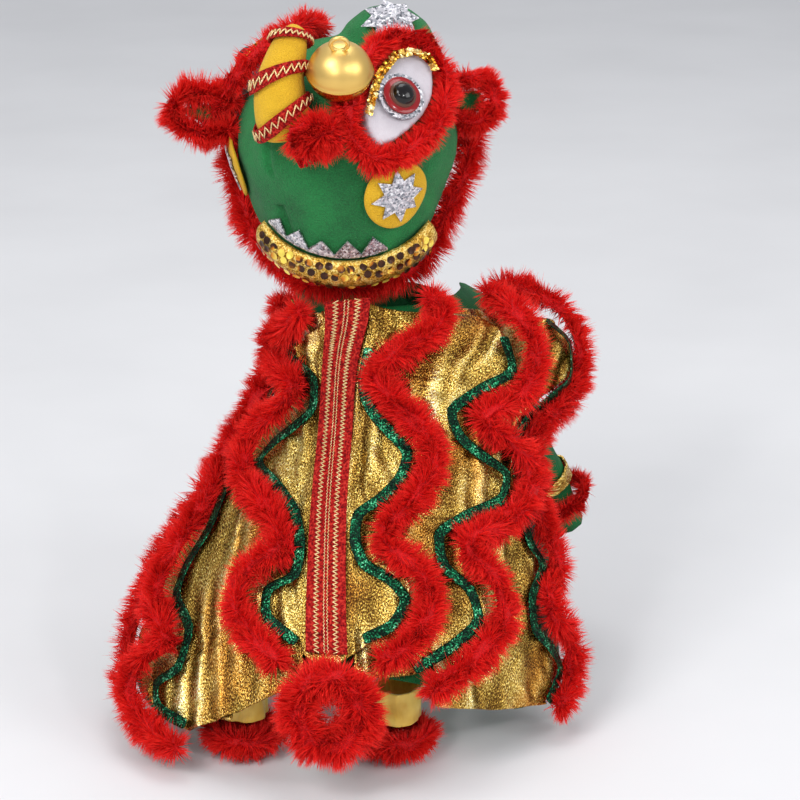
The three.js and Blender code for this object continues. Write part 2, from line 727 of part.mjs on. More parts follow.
// Direction by azimuth from the back of the costume and elevation.
function byCompass(azimuth, elevation) {
  const a = rad(azimuth);
  const e = rad(elevation);
  return vec(Math.sin(a) * Math.cos(e), -Math.cos(a) * Math.cos(e), Math.sin(e));
}

// Places a flat outline on the hood, wrapped to its curve.
function onHood(azimuth, elevation) {
  const dir = byCompass(azimuth, elevation);
  const east = vec(Math.cos(rad(azimuth)), Math.sin(rad(azimuth)), 0);
  const north = dir.clone().cross(east).negate();
  if (north.z < 0) north.negate();
  return (x, y, lift) => {
    const d = dir.clone().multiplyScalar(HOOD.radius).addScaledVector(east, x).addScaledVector(north, y);
    return hoodAt(d.normalize(), lift);
  };
}

function starOutline(points, outer, inner, turn) {
  return range(points * 2).map((i) => {
    const r = i % 2 ? inner : outer * (0.86 + 0.14 * scatter(i, 3));
    const a = rad(turn) + (Math.PI * i) / points;
    return { x: r * Math.cos(a), y: r * Math.sin(a) };
  });
}

function roundOutline(radius, count) {
  return range(count).map((i) => {
    const a = (2 * Math.PI * i) / count;
    return { x: radius * Math.cos(a), y: radius * Math.sin(a) };
  });
}

function buildHood() {
  const shell = (outer, inner) => {
    const outline = roundOutline(1, 18);
    const at = (x, y, lift) => {
      const around = THREE.MathUtils.radToDeg(Math.atan2(y, x));
      return hoodAt(byAxis(Math.hypot(x, y) * rimAt(around), around), lift);
    };
    return applique(at, outline, 6, inner, outer);
  };
  const ball = (center, radius, w, h) => {
    const geometry = new THREE.SphereGeometry(radius, w, h);
    geometry.rotateX(Math.PI / 2);
    return solidFrom(geometry.translate(center.x, center.y, center.z));
  };
  const crownAt = hub.clone().add(vec(CROWN.x, CROWN.y, CROWN.z));
  const inside = shell(-HOOD.wall, -HOOD.wall - 40);
  const crown = cut(ball(crownAt, CROWN.radius, 11, 7), ball(hub, HOOD.radius - 1.4, 14, 9));
  const hood = cut(shell(0, -HOOD.wall).add(crown), inside);
  add("hat_shell", hood, "plush");
  const keep = shell(GAP, -HOOD.wall - 20).add(ball(crownAt, CROWN.radius + GAP, 11, 7));

  const crownDir = byCompass(CROWN_STAR.azimuth, CROWN_STAR.elevation);
  const crownEast = vec(Math.cos(rad(CROWN_STAR.azimuth)), Math.sin(rad(CROWN_STAR.azimuth)), 0);
  const crownNorth = crownEast.clone().cross(crownDir).negate();
  const onCrown = (x, y, lift) => {
    const d = crownDir.clone().multiplyScalar(CROWN.radius).addScaledVector(crownEast, x);
    d.addScaledVector(crownNorth, crownNorth.z > 0 ? y : -y).normalize();
    return crownAt.clone().addScaledVector(d, CROWN.radius + lift);
  };
  const crownStar = (grow) => {
    const low = GAP + 1.4;
    const { points, outer, inner, turn } = CROWN_STAR;
    const rays = starOutline(points, outer + grow, inner + grow, turn);
    return applique(onCrown, rays, 1, low - grow, low + 0.9 + grow);
  };
  add("crown_star", crownStar(0), "silver");

  const bandAround = (r, c, spec, lift) => {
    const dir = byAxis(mix(spec.from, spec.to, r), mix(-spec.half, spec.half, c));
    return hoodAt(dir, lift);
  };
  const lipBand = (grow) => {
    const at = (r, c, lift) => {
      const swell = Math.sin(Math.PI * mix(0.12, 0.88, r)) * Math.sin(Math.PI * mix(0.14, 0.86, c)) ** 0.5;
      return bandAround(r, c, LIP, lift > 1 ? 2 + grow + swell * LIP.puff : lift);
    };
    return wall(at, 4, 12, GAP - grow, 2);
  };
  add("lip_band", lipBand(0), "gold");
  const lipTape = wall((r, c, lift) => bandAround(r, c, LIP_TAPE, lift), 1, 12, GAP, GAP + LIP_TAPE.thick);
  add("lip_tape", lipTape, "green_tape");

  const steps = TEETH.count * 2;
  const teeth = wall(
    (r, c, lift) => {
      const i = Math.round(c * steps);
      const tall = i % 2 ? TEETH.tall * (0.9 + 0.2 * scatter(i, 5)) : TEETH.short - 4.2;
      return hoodAt(byAxis(TEETH.foot - tall * r, mix(TEETH.from, TEETH.to, c)), lift);
    },
    1,
    steps,
    GAP,
    GAP + 0.9,
  );
  add("teeth_strip", teeth, "silver");

  const hornPath = new THREE.CatmullRomCurve3(HORN.map((p) => hub.clone().add(vec(p.x, p.y, p.z))));
  const hornRadius = (t) => column(HORN.map((row, i) => ({ ...row, t: i / 5 })), "t", "radius", t);
  const hornTube = (from, to, stepsAlong, sides, grow) => {
    const path = range(stepsAlong + 1).map((i) => onCurve(hornPath, mix(from, to, i / stepsAlong)));
    const section = (k, j) => {
      const r = hornRadius(mix(from, to, k / stepsAlong)) + grow;
      const a = (2 * Math.PI * j) / sides;
      return [r * Math.cos(a), r * Math.sin(a)];
    };
    const ups = path.map(() => vec(0, -1, 0));
    return sweep(path, ups, sides, section, false, grow > 0 ? 0 : 3);
  };
  const horn = cut(hornTube(0, 1, 7, 10, 0), keep);
  const hornGrown = hornTube(-0.12, 1.02, 7, 10, GAP + 3.2);
  add("horn", horn, "yellow");
  HORN_BRAIDS.forEach(({ at, slant }, i) => {
    const half = HORN_BRAID.width / 2 / hornPath.getLength();
    const band = bandOn(hornPath, hornRadius, at - half, at + half, 2 * GAP, HORN_BRAID.thick, slant);
    add("horn_braid_" + (i + 1), cut(band, keep), "braid");
  });

  const bellAt = hub.clone().add(vec(BELL_AT.x, BELL_AT.y, BELL_AT.z));
  const profile = range(9).map((i) => {
    const a = -Math.PI / 2 + (Math.PI * i) / 8;
    const reach = i === 4 ? 1.06 * BELL.radius : BELL.radius;
    return new THREE.Vector2(i % 8 ? reach * Math.cos(a) : 0, BELL.radius * BELL.tall * Math.sin(a));
  });
  const bellBody = (grow) => {
    const k = (BELL.radius + grow) / BELL.radius;
    const outline = profile.map((p) => p.clone().multiplyScalar(k));
    return new THREE.LatheGeometry(outline, 12).rotateX(Math.PI / 2);
  };
  const tilt = new THREE.Matrix4().makeRotationX(rad(BELL.tilt)).setPosition(bellAt);
  const loop = new THREE.TorusGeometry(BELL.loop, BELL.wire, 5, 9).rotateX(Math.PI / 2);
  loop.translate(0, 0, BELL.radius * BELL.tall + BELL.loop - 0.8);
  const slot = new THREE.BoxGeometry(BELL.radius * 1.4, 2.2, 6).translate(0, 0, -BELL.radius * BELL.tall);
  const bell = solidFrom(bellBody(0).applyMatrix4(tilt)).add(solidFrom(loop.applyMatrix4(tilt)));
  add("bell", cut(bell, solidFrom(slot.applyMatrix4(tilt)), keep, hornGrown), "brass");
  const bellGrown = solidFrom(bellBody(GAP + 0.6).applyMatrix4(tilt));

  const ears = EARS.map((ear) => {
    const center = hub.clone().add(vec(ear.x, ear.y, ear.z));
    const out = vec(ear.flip, 0, 0.12).normalize();
    const face = vec(0, -0.94, 0.34);
    const up = face.clone().cross(out).multiplyScalar(ear.flip).normalize();
    if (up.z < 0) up.negate();
    return { ...ear, center, out, face, up };
  });
  const earGrown = [];
  for (const ear of ears) {
    const at = (x, y, lift) =>
      ear.center
        .clone()
        .addScaledVector(ear.out, x)
        .addScaledVector(ear.up, y)
        .addScaledVector(ear.face, lift + 0.02 * (x * x + y * y));
    const leaf = (grow) =>
      roundOutline(1, 12).map((p) => ({ x: (ear.wide + grow) * p.x, y: (ear.tall + grow) * p.y }));
    const bend = range(10).map((i) => rad(mix(-142, 142, i / 9)));
    const wide = ear.wide + EAR_FUR.from;
    const tall = ear.tall + EAR_FUR.from;
    const path = bend.map((a) => at(wide * Math.cos(a), tall * Math.sin(a), 1));
    const ups = bend.map((a) => {
      return ear.out.clone().multiplyScalar(Math.cos(a)).addScaledVector(ear.up, Math.sin(a));
    });
    const fur = sweep(path, ups, 6, furSection(EAR_FUR, 0, false), false, 3);
    const grown = sweep(path, ups, 6, furSection(EAR_FUR, GAP, false), false, 4);
    earGrown.push(grown, applique(at, leaf(GAP), 1, -1.5 - GAP, 1.5 + GAP));
    add("ear_" + ear.side, cut(applique(at, leaf(0), 1, -1.5, 1.5), keep, grown), "plush");
    add("ear_fur_" + ear.side, cut(fur, keep), "fur");
  }

  const cheekGrown = [];
  for (const { side, azimuth, elevation, turn } of CHEEKS) {
    const at = onHood(azimuth, elevation);
    const low = GAP + 0.8;
    const disc = applique(at, roundOutline(CHEEK.radius, 16), 1, low, low + CHEEK.thick);
    const top = low + CHEEK.thick + GAP + 0.2;
    const rays = starOutline(CHEEK.points, CHEEK.star, CHEEK.star * 0.55, turn);
    const star = applique(at, rays, 1, top, top + 0.8);
    add("cheek_disc_" + side, cut(disc, keep, lipBand(GAP), ...earGrown), "yellow");
    add("cheek_star_" + side, cut(star, ...earGrown), "silver");
    cheekGrown.push(applique(at, roundOutline(CHEEK.radius + GAP, 16), 1, 0, top + 0.8 + GAP));
  }

  const eyeFurGrown = [];
  for (const { side, azimuth, elevation, flip } of EYES) {
    const dir = byCompass(azimuth, elevation);
    const east = vec(Math.cos(rad(azimuth)), Math.sin(rad(azimuth)), 0).multiplyScalar(flip);
    const north = dir.clone().cross(east).multiplyScalar(flip);
    const mid = hub.clone().addScaledVector(dir, HOOD.radius + EYE.stand);
    const flat = (x, y, lift) => {
      return mid.clone().addScaledVector(east, x).addScaledVector(north, y).addScaledVector(dir, lift);
    };
    const at = (x, y, lift) => flat(x, y, lift - 0.006 * (x * x + y * y));
    const closed = (rows, k) => rows.map((p) => vec(p.x * k, p.y * k, 0));
    const leafCurve = new THREE.CatmullRomCurve3(closed(EYE_LEAF, 1), true, "centripetal");
    const n = EYE_FUR.steps;
    const edge = leafCurve.getSpacedPoints(n).slice(0, n);
    const path = edge.map((p, i) => {
      const t = edge[(i + 1) % n].clone().sub(edge[(i + n - 1) % n]).normalize();
      const away = t.x * p.y - t.y * p.x > 0 ? EYE_FUR.out : -EYE_FUR.out;
      return at(p.x - t.y * away, p.y + t.x * away, -1.5);
    });
    const ups = path.map(() => dir.clone());
    const others = [keep, bellGrown, hornGrown, crownStar(GAP), ...earGrown, ...cheekGrown];
    const fur = cut(sweep(path, ups, EYE_FUR.sides, furSection(EYE_FUR, 0, false), true), ...others);
    const furGrown = sweep(path, ups, EYE_FUR.sides, furSection(EYE_FUR, GAP, false), true);
    eyeFurGrown.push(furGrown);
    add("eye_fur_" + side, fur, "fur");
    const outline = closed(edge, 0.93);
    const white = cut(applique(at, outline, 1, -22, 0), keep, furGrown, ...earGrown);
    add("eye_white_" + side, white, "white");
    const ring = applique(flat, roundOutline(EYE.ring, 14), 1, GAP, GAP + 0.9);
    add("eye_ring_" + side, ring, "silver");
    const lens = [
      [0, 0],
      [EYE.flange, 0],
      [EYE.flange, 0.9],
      [EYE.rim, 0.9],
      [EYE.rim, 2.4],
      [EYE.dome, 3.2],
      [EYE.dome * 0.7, 5.2],
      [0, 6],
    ].map(([x, y]) => new THREE.Vector2(x, y));
    const ballAt = new THREE.Matrix4().makeBasis(east.clone().multiplyScalar(flip), north, dir);
    ballAt.setPosition(flat(0, 0, 2 * GAP + 0.9));
    const eyeball = new THREE.LatheGeometry(lens, 12).rotateX(Math.PI / 2);
    add("eye_ball_" + side, solidFrom(eyeball.applyMatrix4(ballAt)), "eye");
    const trimRows = EYE_LEAF.filter((row) => row.trim);
    const trimCurve = new THREE.CatmullRomCurve3(closed(trimRows, 0.9));
    const trimPath = trimCurve.getSpacedPoints(9).map((p) => at(p.x, p.y, GAP + 1.3));
    const bead = (k, j) => {
      const turn = (2 * Math.PI * j) / 5;
      return [1.5 * Math.cos(turn), 1.1 * Math.sin(turn)];
    };
    const trim = sweep(trimPath, ups.slice(0, 10), 5, bead, false);
    add("eye_trim_" + side, cut(trim, furGrown, crownStar(GAP)), "gold");
  }

  const tuftAt = hub.clone().add(vec(NOSE_TUFT.x, NOSE_TUFT.y, NOSE_TUFT.z));
  const tuftPath = range(6).map((i) => {
    return tuftAt.clone().add(vec(mix(-NOSE_TUFT.wide, NOSE_TUFT.wide, i / 5) * 0.7, 0, 0));
  });
  const tuftSpec = { half: NOSE_TUFT.deep, tall: NOSE_TUFT.tall, lock: 0.15, sides: 8 };
  const round = furSection(tuftSpec, 0, false);
  const tuftSection = (k, j) => round(k, j).map((v) => v * Math.sqrt(1 - ((k - 2.5) / 3.2) ** 2));
  const tuftUps = tuftPath.map(() => vec(0, 0, 1));
  const tuft = sweep(tuftPath, tuftUps, 8, tuftSection, false, 4);
  add("nose_tuft", cut(tuft, keep, hornGrown, bellGrown, ...eyeFurGrown), "fur");

  const rimSteps = 24;
  const rim = range(rimSteps).map((i) => {
    const around = (360 * i) / rimSteps;
    const dir = byAxis(rimAt(around), around);
    const low = Math.max(0, Math.cos(rad(around)));
    const point = hoodAt(dir, mix(6.5, 0, low)).addScaledVector(AXIS, -mix(7.6, 10.6, low));
    return { point, out: dir };
  });
  add("hat_rim_fur", cut(furRing(rim, 8.6, 5), shell(GAP, -HOOD.wall - GAP), ...earGrown), "fur");
}

buildCape();
buildVest();
buildTailAndCuffs();
buildHood();

export default costume;
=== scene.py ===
# %% [markdown]
# # A lion dance costume
# The costume is a lion-face hood of green plush and a cape of gold strips, each edged with long red fur.
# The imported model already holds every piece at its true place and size, so this lesson adds only the looks:
# cloth with folds, fur made of strands, sequins, stitches and finishes. All lengths are in metres.

import bpy
import numpy as np
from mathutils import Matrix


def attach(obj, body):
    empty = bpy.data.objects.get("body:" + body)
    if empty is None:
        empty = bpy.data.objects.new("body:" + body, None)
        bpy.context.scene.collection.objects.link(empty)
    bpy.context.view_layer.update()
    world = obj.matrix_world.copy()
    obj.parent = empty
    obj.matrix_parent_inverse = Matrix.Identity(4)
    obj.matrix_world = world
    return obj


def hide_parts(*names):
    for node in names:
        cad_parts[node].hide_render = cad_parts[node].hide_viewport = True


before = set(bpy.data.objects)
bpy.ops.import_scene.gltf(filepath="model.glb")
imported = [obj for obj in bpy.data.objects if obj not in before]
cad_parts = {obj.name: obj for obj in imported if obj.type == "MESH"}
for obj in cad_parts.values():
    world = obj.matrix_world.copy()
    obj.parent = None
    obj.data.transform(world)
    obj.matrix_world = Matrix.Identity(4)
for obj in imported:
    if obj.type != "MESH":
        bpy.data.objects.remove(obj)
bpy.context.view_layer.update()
MM = 0.001
print("nodes in the frame:", len(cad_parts))

# %% [markdown]
# ## Reading a solid and making a mesh
# A CAD node is a net of loose triangles. To dress it we read its corners as one array, merge the equal
# ones, and later hand new arrays to Blender in one step. Whole arrays are quick, and a loop over points
# isn't.

# %% Helpers that read and write meshes
def cad_form(node):
    """Corners and triangles of a CAD node, with equal corners merged into one."""
    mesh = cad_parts[node].data
    mesh.calc_loop_triangles()
    points = np.empty(len(mesh.vertices) * 3)
    mesh.vertices.foreach_get("co", points)
    points = points.reshape(-1, 3)
    tris = np.empty(len(mesh.loop_triangles) * 3, dtype=np.int64)
    mesh.loop_triangles.foreach_get("vertices", tris)
    keys = np.round(points / (0.001 * MM)).astype(np.int64)
    _, first, back = np.unique(keys, axis=0, return_index=True, return_inverse=True)
    tris = back.reshape(-1)[tris].reshape(-1, 3)
    whole = (tris[:, 0] != tris[:, 1]) & (tris[:, 1] != tris[:, 2]) & (tris[:, 2] != tris[:, 0])
    return points[first], tris[whole]


def edges_of(tris):
    """Every edge of the triangles once, and for each triangle the numbers of its three edges."""
    ends = np.sort(tris[:, [[0, 1], [1, 2], [2, 0]]].reshape(-1, 2), axis=1)
    edges, back = np.unique(ends, axis=0, return_inverse=True)
    return edges, back.reshape(-1, 3)


def halve(points, tris, times=1):
    """Cuts each triangle into four, with a new point in the middle of every edge, some times over."""
    for _ in range(times):
        edges, of = edges_of(tris)
        mid = of + len(points)
        points = np.concatenate([points, points[edges].mean(axis=1)])
        a, b, c = tris.T
        corners = [[a, mid[:, 0], mid[:, 2]], [b, mid[:, 1], mid[:, 0]], [c, mid[:, 2], mid[:, 1]], mid.T]
        tris = np.concatenate([np.stack(corner, axis=1) for corner in corners])
    return points, tris


def relax(points, tris, rounds, share=0.5):
    """Moves each point a share of the way to the mean of its neighbours, for some rounds."""
    edges, _ = edges_of(tris)
    near = np.concatenate([edges, edges[:, ::-1]])
    count = np.bincount(near[:, 0], minlength=len(points))[:, None]
    for _ in range(rounds):
        sums = [np.bincount(near[:, 0], points[near[:, 1], axis], len(points)) for axis in range(3)]
        points = points + share * (np.stack(sums, axis=1) / count - points)
    return points


def unit(vectors):
    """Vectors of length one."""
    return vectors / np.maximum(np.linalg.norm(vectors, axis=-1, keepdims=True), 1e-12)


def point_normals(points, tris):
    """The way out at each point: the sum of the area vectors of the triangles around it."""
    a, b, c = (points[tris[:, k]] for k in range(3))
    area = np.cross(b - a, c - a)
    corner = tris.reshape(-1)
    spread = np.repeat(area, 3, axis=0)
    sums = [np.bincount(corner, spread[:, axis], len(points)) for axis in range(3)]
    return unit(np.stack(sums, axis=1))


def grid_faces(rows, columns, wrap=False):
    """Quads of a grid of rows by columns of points; wrap joins the last column to the first."""
    i, j = np.meshgrid(np.arange(rows - 1), np.arange(columns if wrap else columns - 1), indexing="ij")
    k = (j + 1) % columns
    quads = [i * columns + j, i * columns + k, (i + 1) * columns + k, (i + 1) * columns + j]
    return np.stack(quads, axis=-1).reshape(-1, 4)


ADDED = {}


def put(name, points, faces, finish, slot, nodes=(), floats=None, uv=None, smooth=True):
    """A piece from arrays: it rides on the body, stands for the named nodes and wears a finish."""
    mesh = bpy.data.meshes.new(name)
    faces = np.asarray(faces)
    ADDED[name] = len(faces) * (faces.shape[1] - 2)
    mesh.vertices.add(len(points))
    mesh.vertices.foreach_set("co", np.asarray(points, dtype=np.float32).ravel())
    mesh.loops.add(faces.size)
    mesh.loops.foreach_set("vertex_index", faces.ravel().astype(np.int32))
    mesh.polygons.add(len(faces))
    mesh.polygons.foreach_set("loop_start", np.arange(len(faces), dtype=np.int32) * faces.shape[1])
    mesh.polygons.foreach_set("use_smooth", np.full(len(faces), smooth))
    for key, values in (floats or {}).items():
        layer = mesh.attributes.new(key, "FLOAT", "POINT")
        layer.data.foreach_set("value", np.asarray(values, dtype=np.float32))
    if uv is not None:
        layer = mesh.uv_layers.new(name="cloth")
        layer.data.foreach_set("uv", uv[faces.ravel()].astype(np.float32).ravel())
    mesh.update(calc_edges=True)
    mesh.materials.append(finish)
    piece = bpy.data.objects.new(name, mesh)
    bpy.context.scene.collection.objects.link(piece)
    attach(piece, "root")
    if nodes:
        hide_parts(*nodes)
    return piece


print("mesh helpers ready")

# %% [markdown]
# ## Writing shader maths as Python
# A finish is a small network of nodes. Wrapping a socket in a class lets us write sums and products as
# plain expressions, and one method adds any other node from its type, its settings and its inputs.

# %% A socket that can be added and multiplied
class Value:
    """A shader value: +, - and * on it add Math nodes to its tree."""

    def __init__(self, tree, socket):
        self.tree = tree
        self.socket = socket

    def math(self, operation, first, second):
        node = self.tree.nodes.new("ShaderNodeMath")
        node.operation = operation
        for socket, value in zip(node.inputs, (first, second)):
            connect(self.tree, socket, value)
        return Value(self.tree, node.outputs[0])

    def __add__(self, other):
        return self.math("ADD", self, other)

    def __radd__(self, other):
        return self.math("ADD", other, self)

    def __sub__(self, other):
        return self.math("SUBTRACT", self, other)

    def __mul__(self, other):
        return self.math("MULTIPLY", self, other)

    def __rmul__(self, other):
        return self.math("MULTIPLY", other, self)


def connect(tree, socket, value):
    """Links a Value to a socket, or sets a plain number or colour on it."""
    if isinstance(value, Value):
        tree.links.new(value.socket, socket)
    elif isinstance(value, tuple) and len(value) == 3 and socket.type == "RGBA":
        socket.default_value = (*value, 1.0)
    else:
        socket.default_value = value


class Finish:
    """A material in the making, with one method for nodes and one for its surface."""

    def __init__(self, name):
        self.material = bpy.data.materials.new(name)
        self.material.use_nodes = True
        self.tree = self.material.node_tree
        self.shader = self.tree.nodes["Principled BSDF"]

    def node(self, kind, settings=None, inputs=None, out=0):
        """Adds a node: its settings are set first, then its inputs, and one output comes back."""
        node = self.tree.nodes.new("ShaderNode" + kind)
        for key, value in (settings or {}).items():
            if key == "stops":
                self.fill_ramp(node.color_ramp, value)
            else:
                setattr(node, key, value)
        for key, value in (inputs or {}).items():
            connect(self.tree, node.inputs[key], value)
        return Value(self.tree, node.outputs[out])

    def fill_ramp(self, ramp, stops):
        """Sets a colour ramp from (place, colour) pairs."""
        while len(ramp.elements) < len(stops):
            ramp.elements.new(0.5)
        for element, (place, colour) in zip(ramp.elements, stops):
            element.position = place
            element.color = (*colour, 1.0)

    def ramp(self, value, *stops):
        return self.node("ValToRGB", {"stops": stops}, {"Fac": value}, "Color")

    def blend(self, share, first, second):
        """Mixes two colours by a share from 0 to 1."""
        return self.node("Mix", {"data_type": "RGBA"}, {0: share, 6: first, 7: second}, 2)

    def place(self, uv=False, scale=(1, 1, 1)):
        """Where a point is on the piece: Object coordinates, or its own cloth UV map, stretched by scale."""
        if uv:
            spot = self.node("UVMap", {"uv_map": "cloth"}, out="UV")
        else:
            spot = self.node("TexCoord", out="Object")
        return self.node("Mapping", {}, {"Vector": spot, "Scale": scale}, "Vector")

    def noise(self, where, scale, detail=3.0, out="Fac"):
        return self.node("TexNoise", {}, {"Vector": where, "Scale": scale, "Detail": detail}, out)

    def cells(self, where, scale, out="Distance"):
        return self.node("TexVoronoi", {}, {"Vector": where, "Scale": scale}, out)

    def flakes(self, where, scale):
        """A number of its own for each cell."""
        return self.node("SeparateColor", {}, {"Color": self.cells(where, scale, "Color")}, 0)

    def attribute(self, name):
        return self.node("Attribute", {"attribute_name": name}, out="Fac")

    def surface(self, bump=None, depth=0.0, **sockets):
        """Sets the shader's sockets, with a Bump node where a height is given."""
        if bump is not None:
            inputs = {"Height": bump, "Distance": depth, "Strength": 1.0}
            sockets["Normal"] = self.node("Bump", {}, inputs, "Normal")
        for key, value in sockets.items():
            connect(self.tree, self.shader.inputs[key.replace("_", " ")], value)
        return self.material


print("shader helpers ready")

# %% [markdown]
# ## Red fur
# The long plush is painted from dark roots to bright tips, as painted shade deep in the pile, and no two
# strands have quite the same red. Each strand carries two numbers, how far along it a point lies and its own
# tint, so the finish only has to read them. A fine noise makes strands and backing fuzzy.

# %% The fur finish
def red_fur():
    finish = Finish("red_fur")
    fuzz = finish.noise(finish.place(), 1300.0, 2.0)
    along = finish.attribute("along") + 1.1 * (fuzz - 0.42)
    tint = finish.attribute("tint")
    # Both ramps run from a dark root to a bright tip: painted shade deep in the pile.
    red = finish.ramp(
        along, (0.0, (0.46, 0.0, 0.002)), (0.45, (0.88, 0.007, 0.007)), (1.0, (1.0, 0.034, 0.020))
    )
    deep = finish.ramp(
        along, (0.0, (0.34, 0.0, 0.002)), (0.5, (0.70, 0.004, 0.007)), (1.0, (0.92, 0.016, 0.014))
    )
    colour = finish.blend(tint, red, deep)
    return finish.surface(
        bump=fuzz,
        depth=0.0007,
        Base_Color=colour,
        Roughness=0.5,
        Sheen_Weight=0.1,
        Sheen_Tint=(1.0, 0.15, 0.1),
        Specular_IOR_Level=0.2,
    )


FUR = red_fur()

# %% [markdown]
# ## The worn back of the cape
# The cape lies on a rounded back: at each level it is an arc of an ellipse, turned a little with the spine.
# One row for each level is enough, and a smooth cubic fills in between. The same table gives a point from
# its distance down and across, and also the way back from a point to those two distances.

# %% The cape's surface
BACK = np.array([
    # down, height, centre x, centre y, half width x, half width y (mm), spine angle (degrees)
    (0, 0, 0, 0, 44, 38, -14),
    (38, -26, 27, -2, 62, 60, -36),
    (92, -66, 19, -9, 70, 84, -28),
    (144, -106, 7, -28, 88, 100, -17),
    (196, -146, -5, -56, 106, 106, -8),
    (240, -186, -12, -72, 115, 110, -3),
    (262, -204, -13, -78, 119, 112, -2),
]) * np.array([MM] * 6 + [np.pi / 180])


def smooth_column(x, xs, ys):
    """Cubic between rows, with slopes taken from the rows on either side."""
    i = np.clip(np.searchsorted(xs, x) - 1, 0, len(xs) - 2)
    slope = np.gradient(ys) / np.gradient(xs)
    h = xs[i + 1] - xs[i]
    t = (x - xs[i]) / h
    rise = t * t * (3 - 2 * t)
    bend = h * ((t**3 - 2 * t * t + t) * slope[i] + (t**3 - t * t) * slope[i + 1])
    return ys[i] + (ys[i + 1] - ys[i]) * rise + bend


def cape(down, across, lift):
    """Point of the cape: the level's ellipse at spine angle + across / mean radius, pushed out by lift."""
    def base(d, a):
        z, cx, cy, rx, ry, spine = (smooth_column(d, BACK[:, 0], BACK[:, k]) for k in range(1, 7))
        turn = spine + 2 * a / (rx + ry)
        return np.stack([cx + rx * np.sin(turn), cy - ry * np.cos(turn), z], axis=-1)

    step = 0.5 * MM
    out = np.cross(base(down + step, across) - base(down - step, across),
                   base(down, across + step) - base(down, across - step))
    return base(down, across) + unit(out) * np.asarray(lift)[..., None]


RISE = 0.6


def on_cape(points):
    """Distance down and across of points on the cape, and the way out there.

    Down and across are read back from height and angle. The way out is level, tipped up by RISE.
    """
    level = BACK[::-1]
    columns = (np.interp(points[:, 2], level[:, 1], level[:, k]) for k in (0, 2, 3, 4, 5, 6))
    down, cx, cy, rx, ry, spine = columns
    x, y = (points[:, 0] - cx) / rx, (points[:, 1] - cy) / ry
    turn = np.arctan2(x, -y) - spine
    return down, turn * (rx + ry) / 2, unit(np.stack([x, y, np.full(len(points), RISE)], axis=1))


print("cape length down the spine:", BACK[-1, 0])

# %% [markdown]
# ## Strands
# Fur could be made with a hair system, but a plain mesh travels to any program. We pick random points on
# the solid's skin, start a strand below each, bend it towards the middle of its tuft, and end it just
# outside. A shrunken copy of the solid stays inside as the backing, so no light shows through.

# %% Fur from a solid
def waves(points, size, seed, count=6):
    """A soft uneven field: the mean of sine waves of about one size in scattered directions."""
    rng = np.random.default_rng(seed)
    way = unit(rng.normal(size=(count, 3))) * (2 * np.pi / size * rng.uniform(0.7, 1.4, (count, 1)))
    return np.sin(points @ way.T + rng.uniform(0, 2 * np.pi, count)).mean(axis=1)


def tuft_means(tips, size, seed):
    """The middle of the tuft that each tip belongs to: tips in one cell of a bent grid share a tuft."""
    bend = np.stack([waves(tips, 2.2 * size, seed + k) for k in range(3)], axis=1)
    spin = np.linalg.qr(np.random.default_rng(seed).normal(size=(3, 3)))[0]
    cell = np.floor((tips / size + 1.3 * bend) @ spin).astype(np.int64)
    _, back = np.unique(cell, axis=0, return_inverse=True)
    back = back.reshape(-1)
    count = np.bincount(back)[:, None]
    sums = np.stack([np.bincount(back, tips[:, axis]) for axis in range(3)], axis=1)
    return (sums / count)[back]


STRAND = {"width": 0.46 * MM, "waist": 0.85, "tuft": 6.5 * MM, "gather": 0.42, "droop": 0.25}
LEAN = {"most": 1.7, "size": 20 * MM, "stray": 0.28, "flat": 0.4}
PILE = {"root": 0.85, "start": 0.2, "short": 0.4, "long": 1.15, "bow": 0.12, "core": 0.3}
# The low root value of ALONG and the core values of ALONG and TINT paint the roots and the backing a darker
# red, as painted shade between the strands.
TINT = {"mean": 0.4, "spread": 0.3, "patch": 0.5, "size": 12 * MM, "core": 0.6}
ALONG = {"root": 0.05, "middle": 0.5, "tip": 1.0, "core": 0.12}


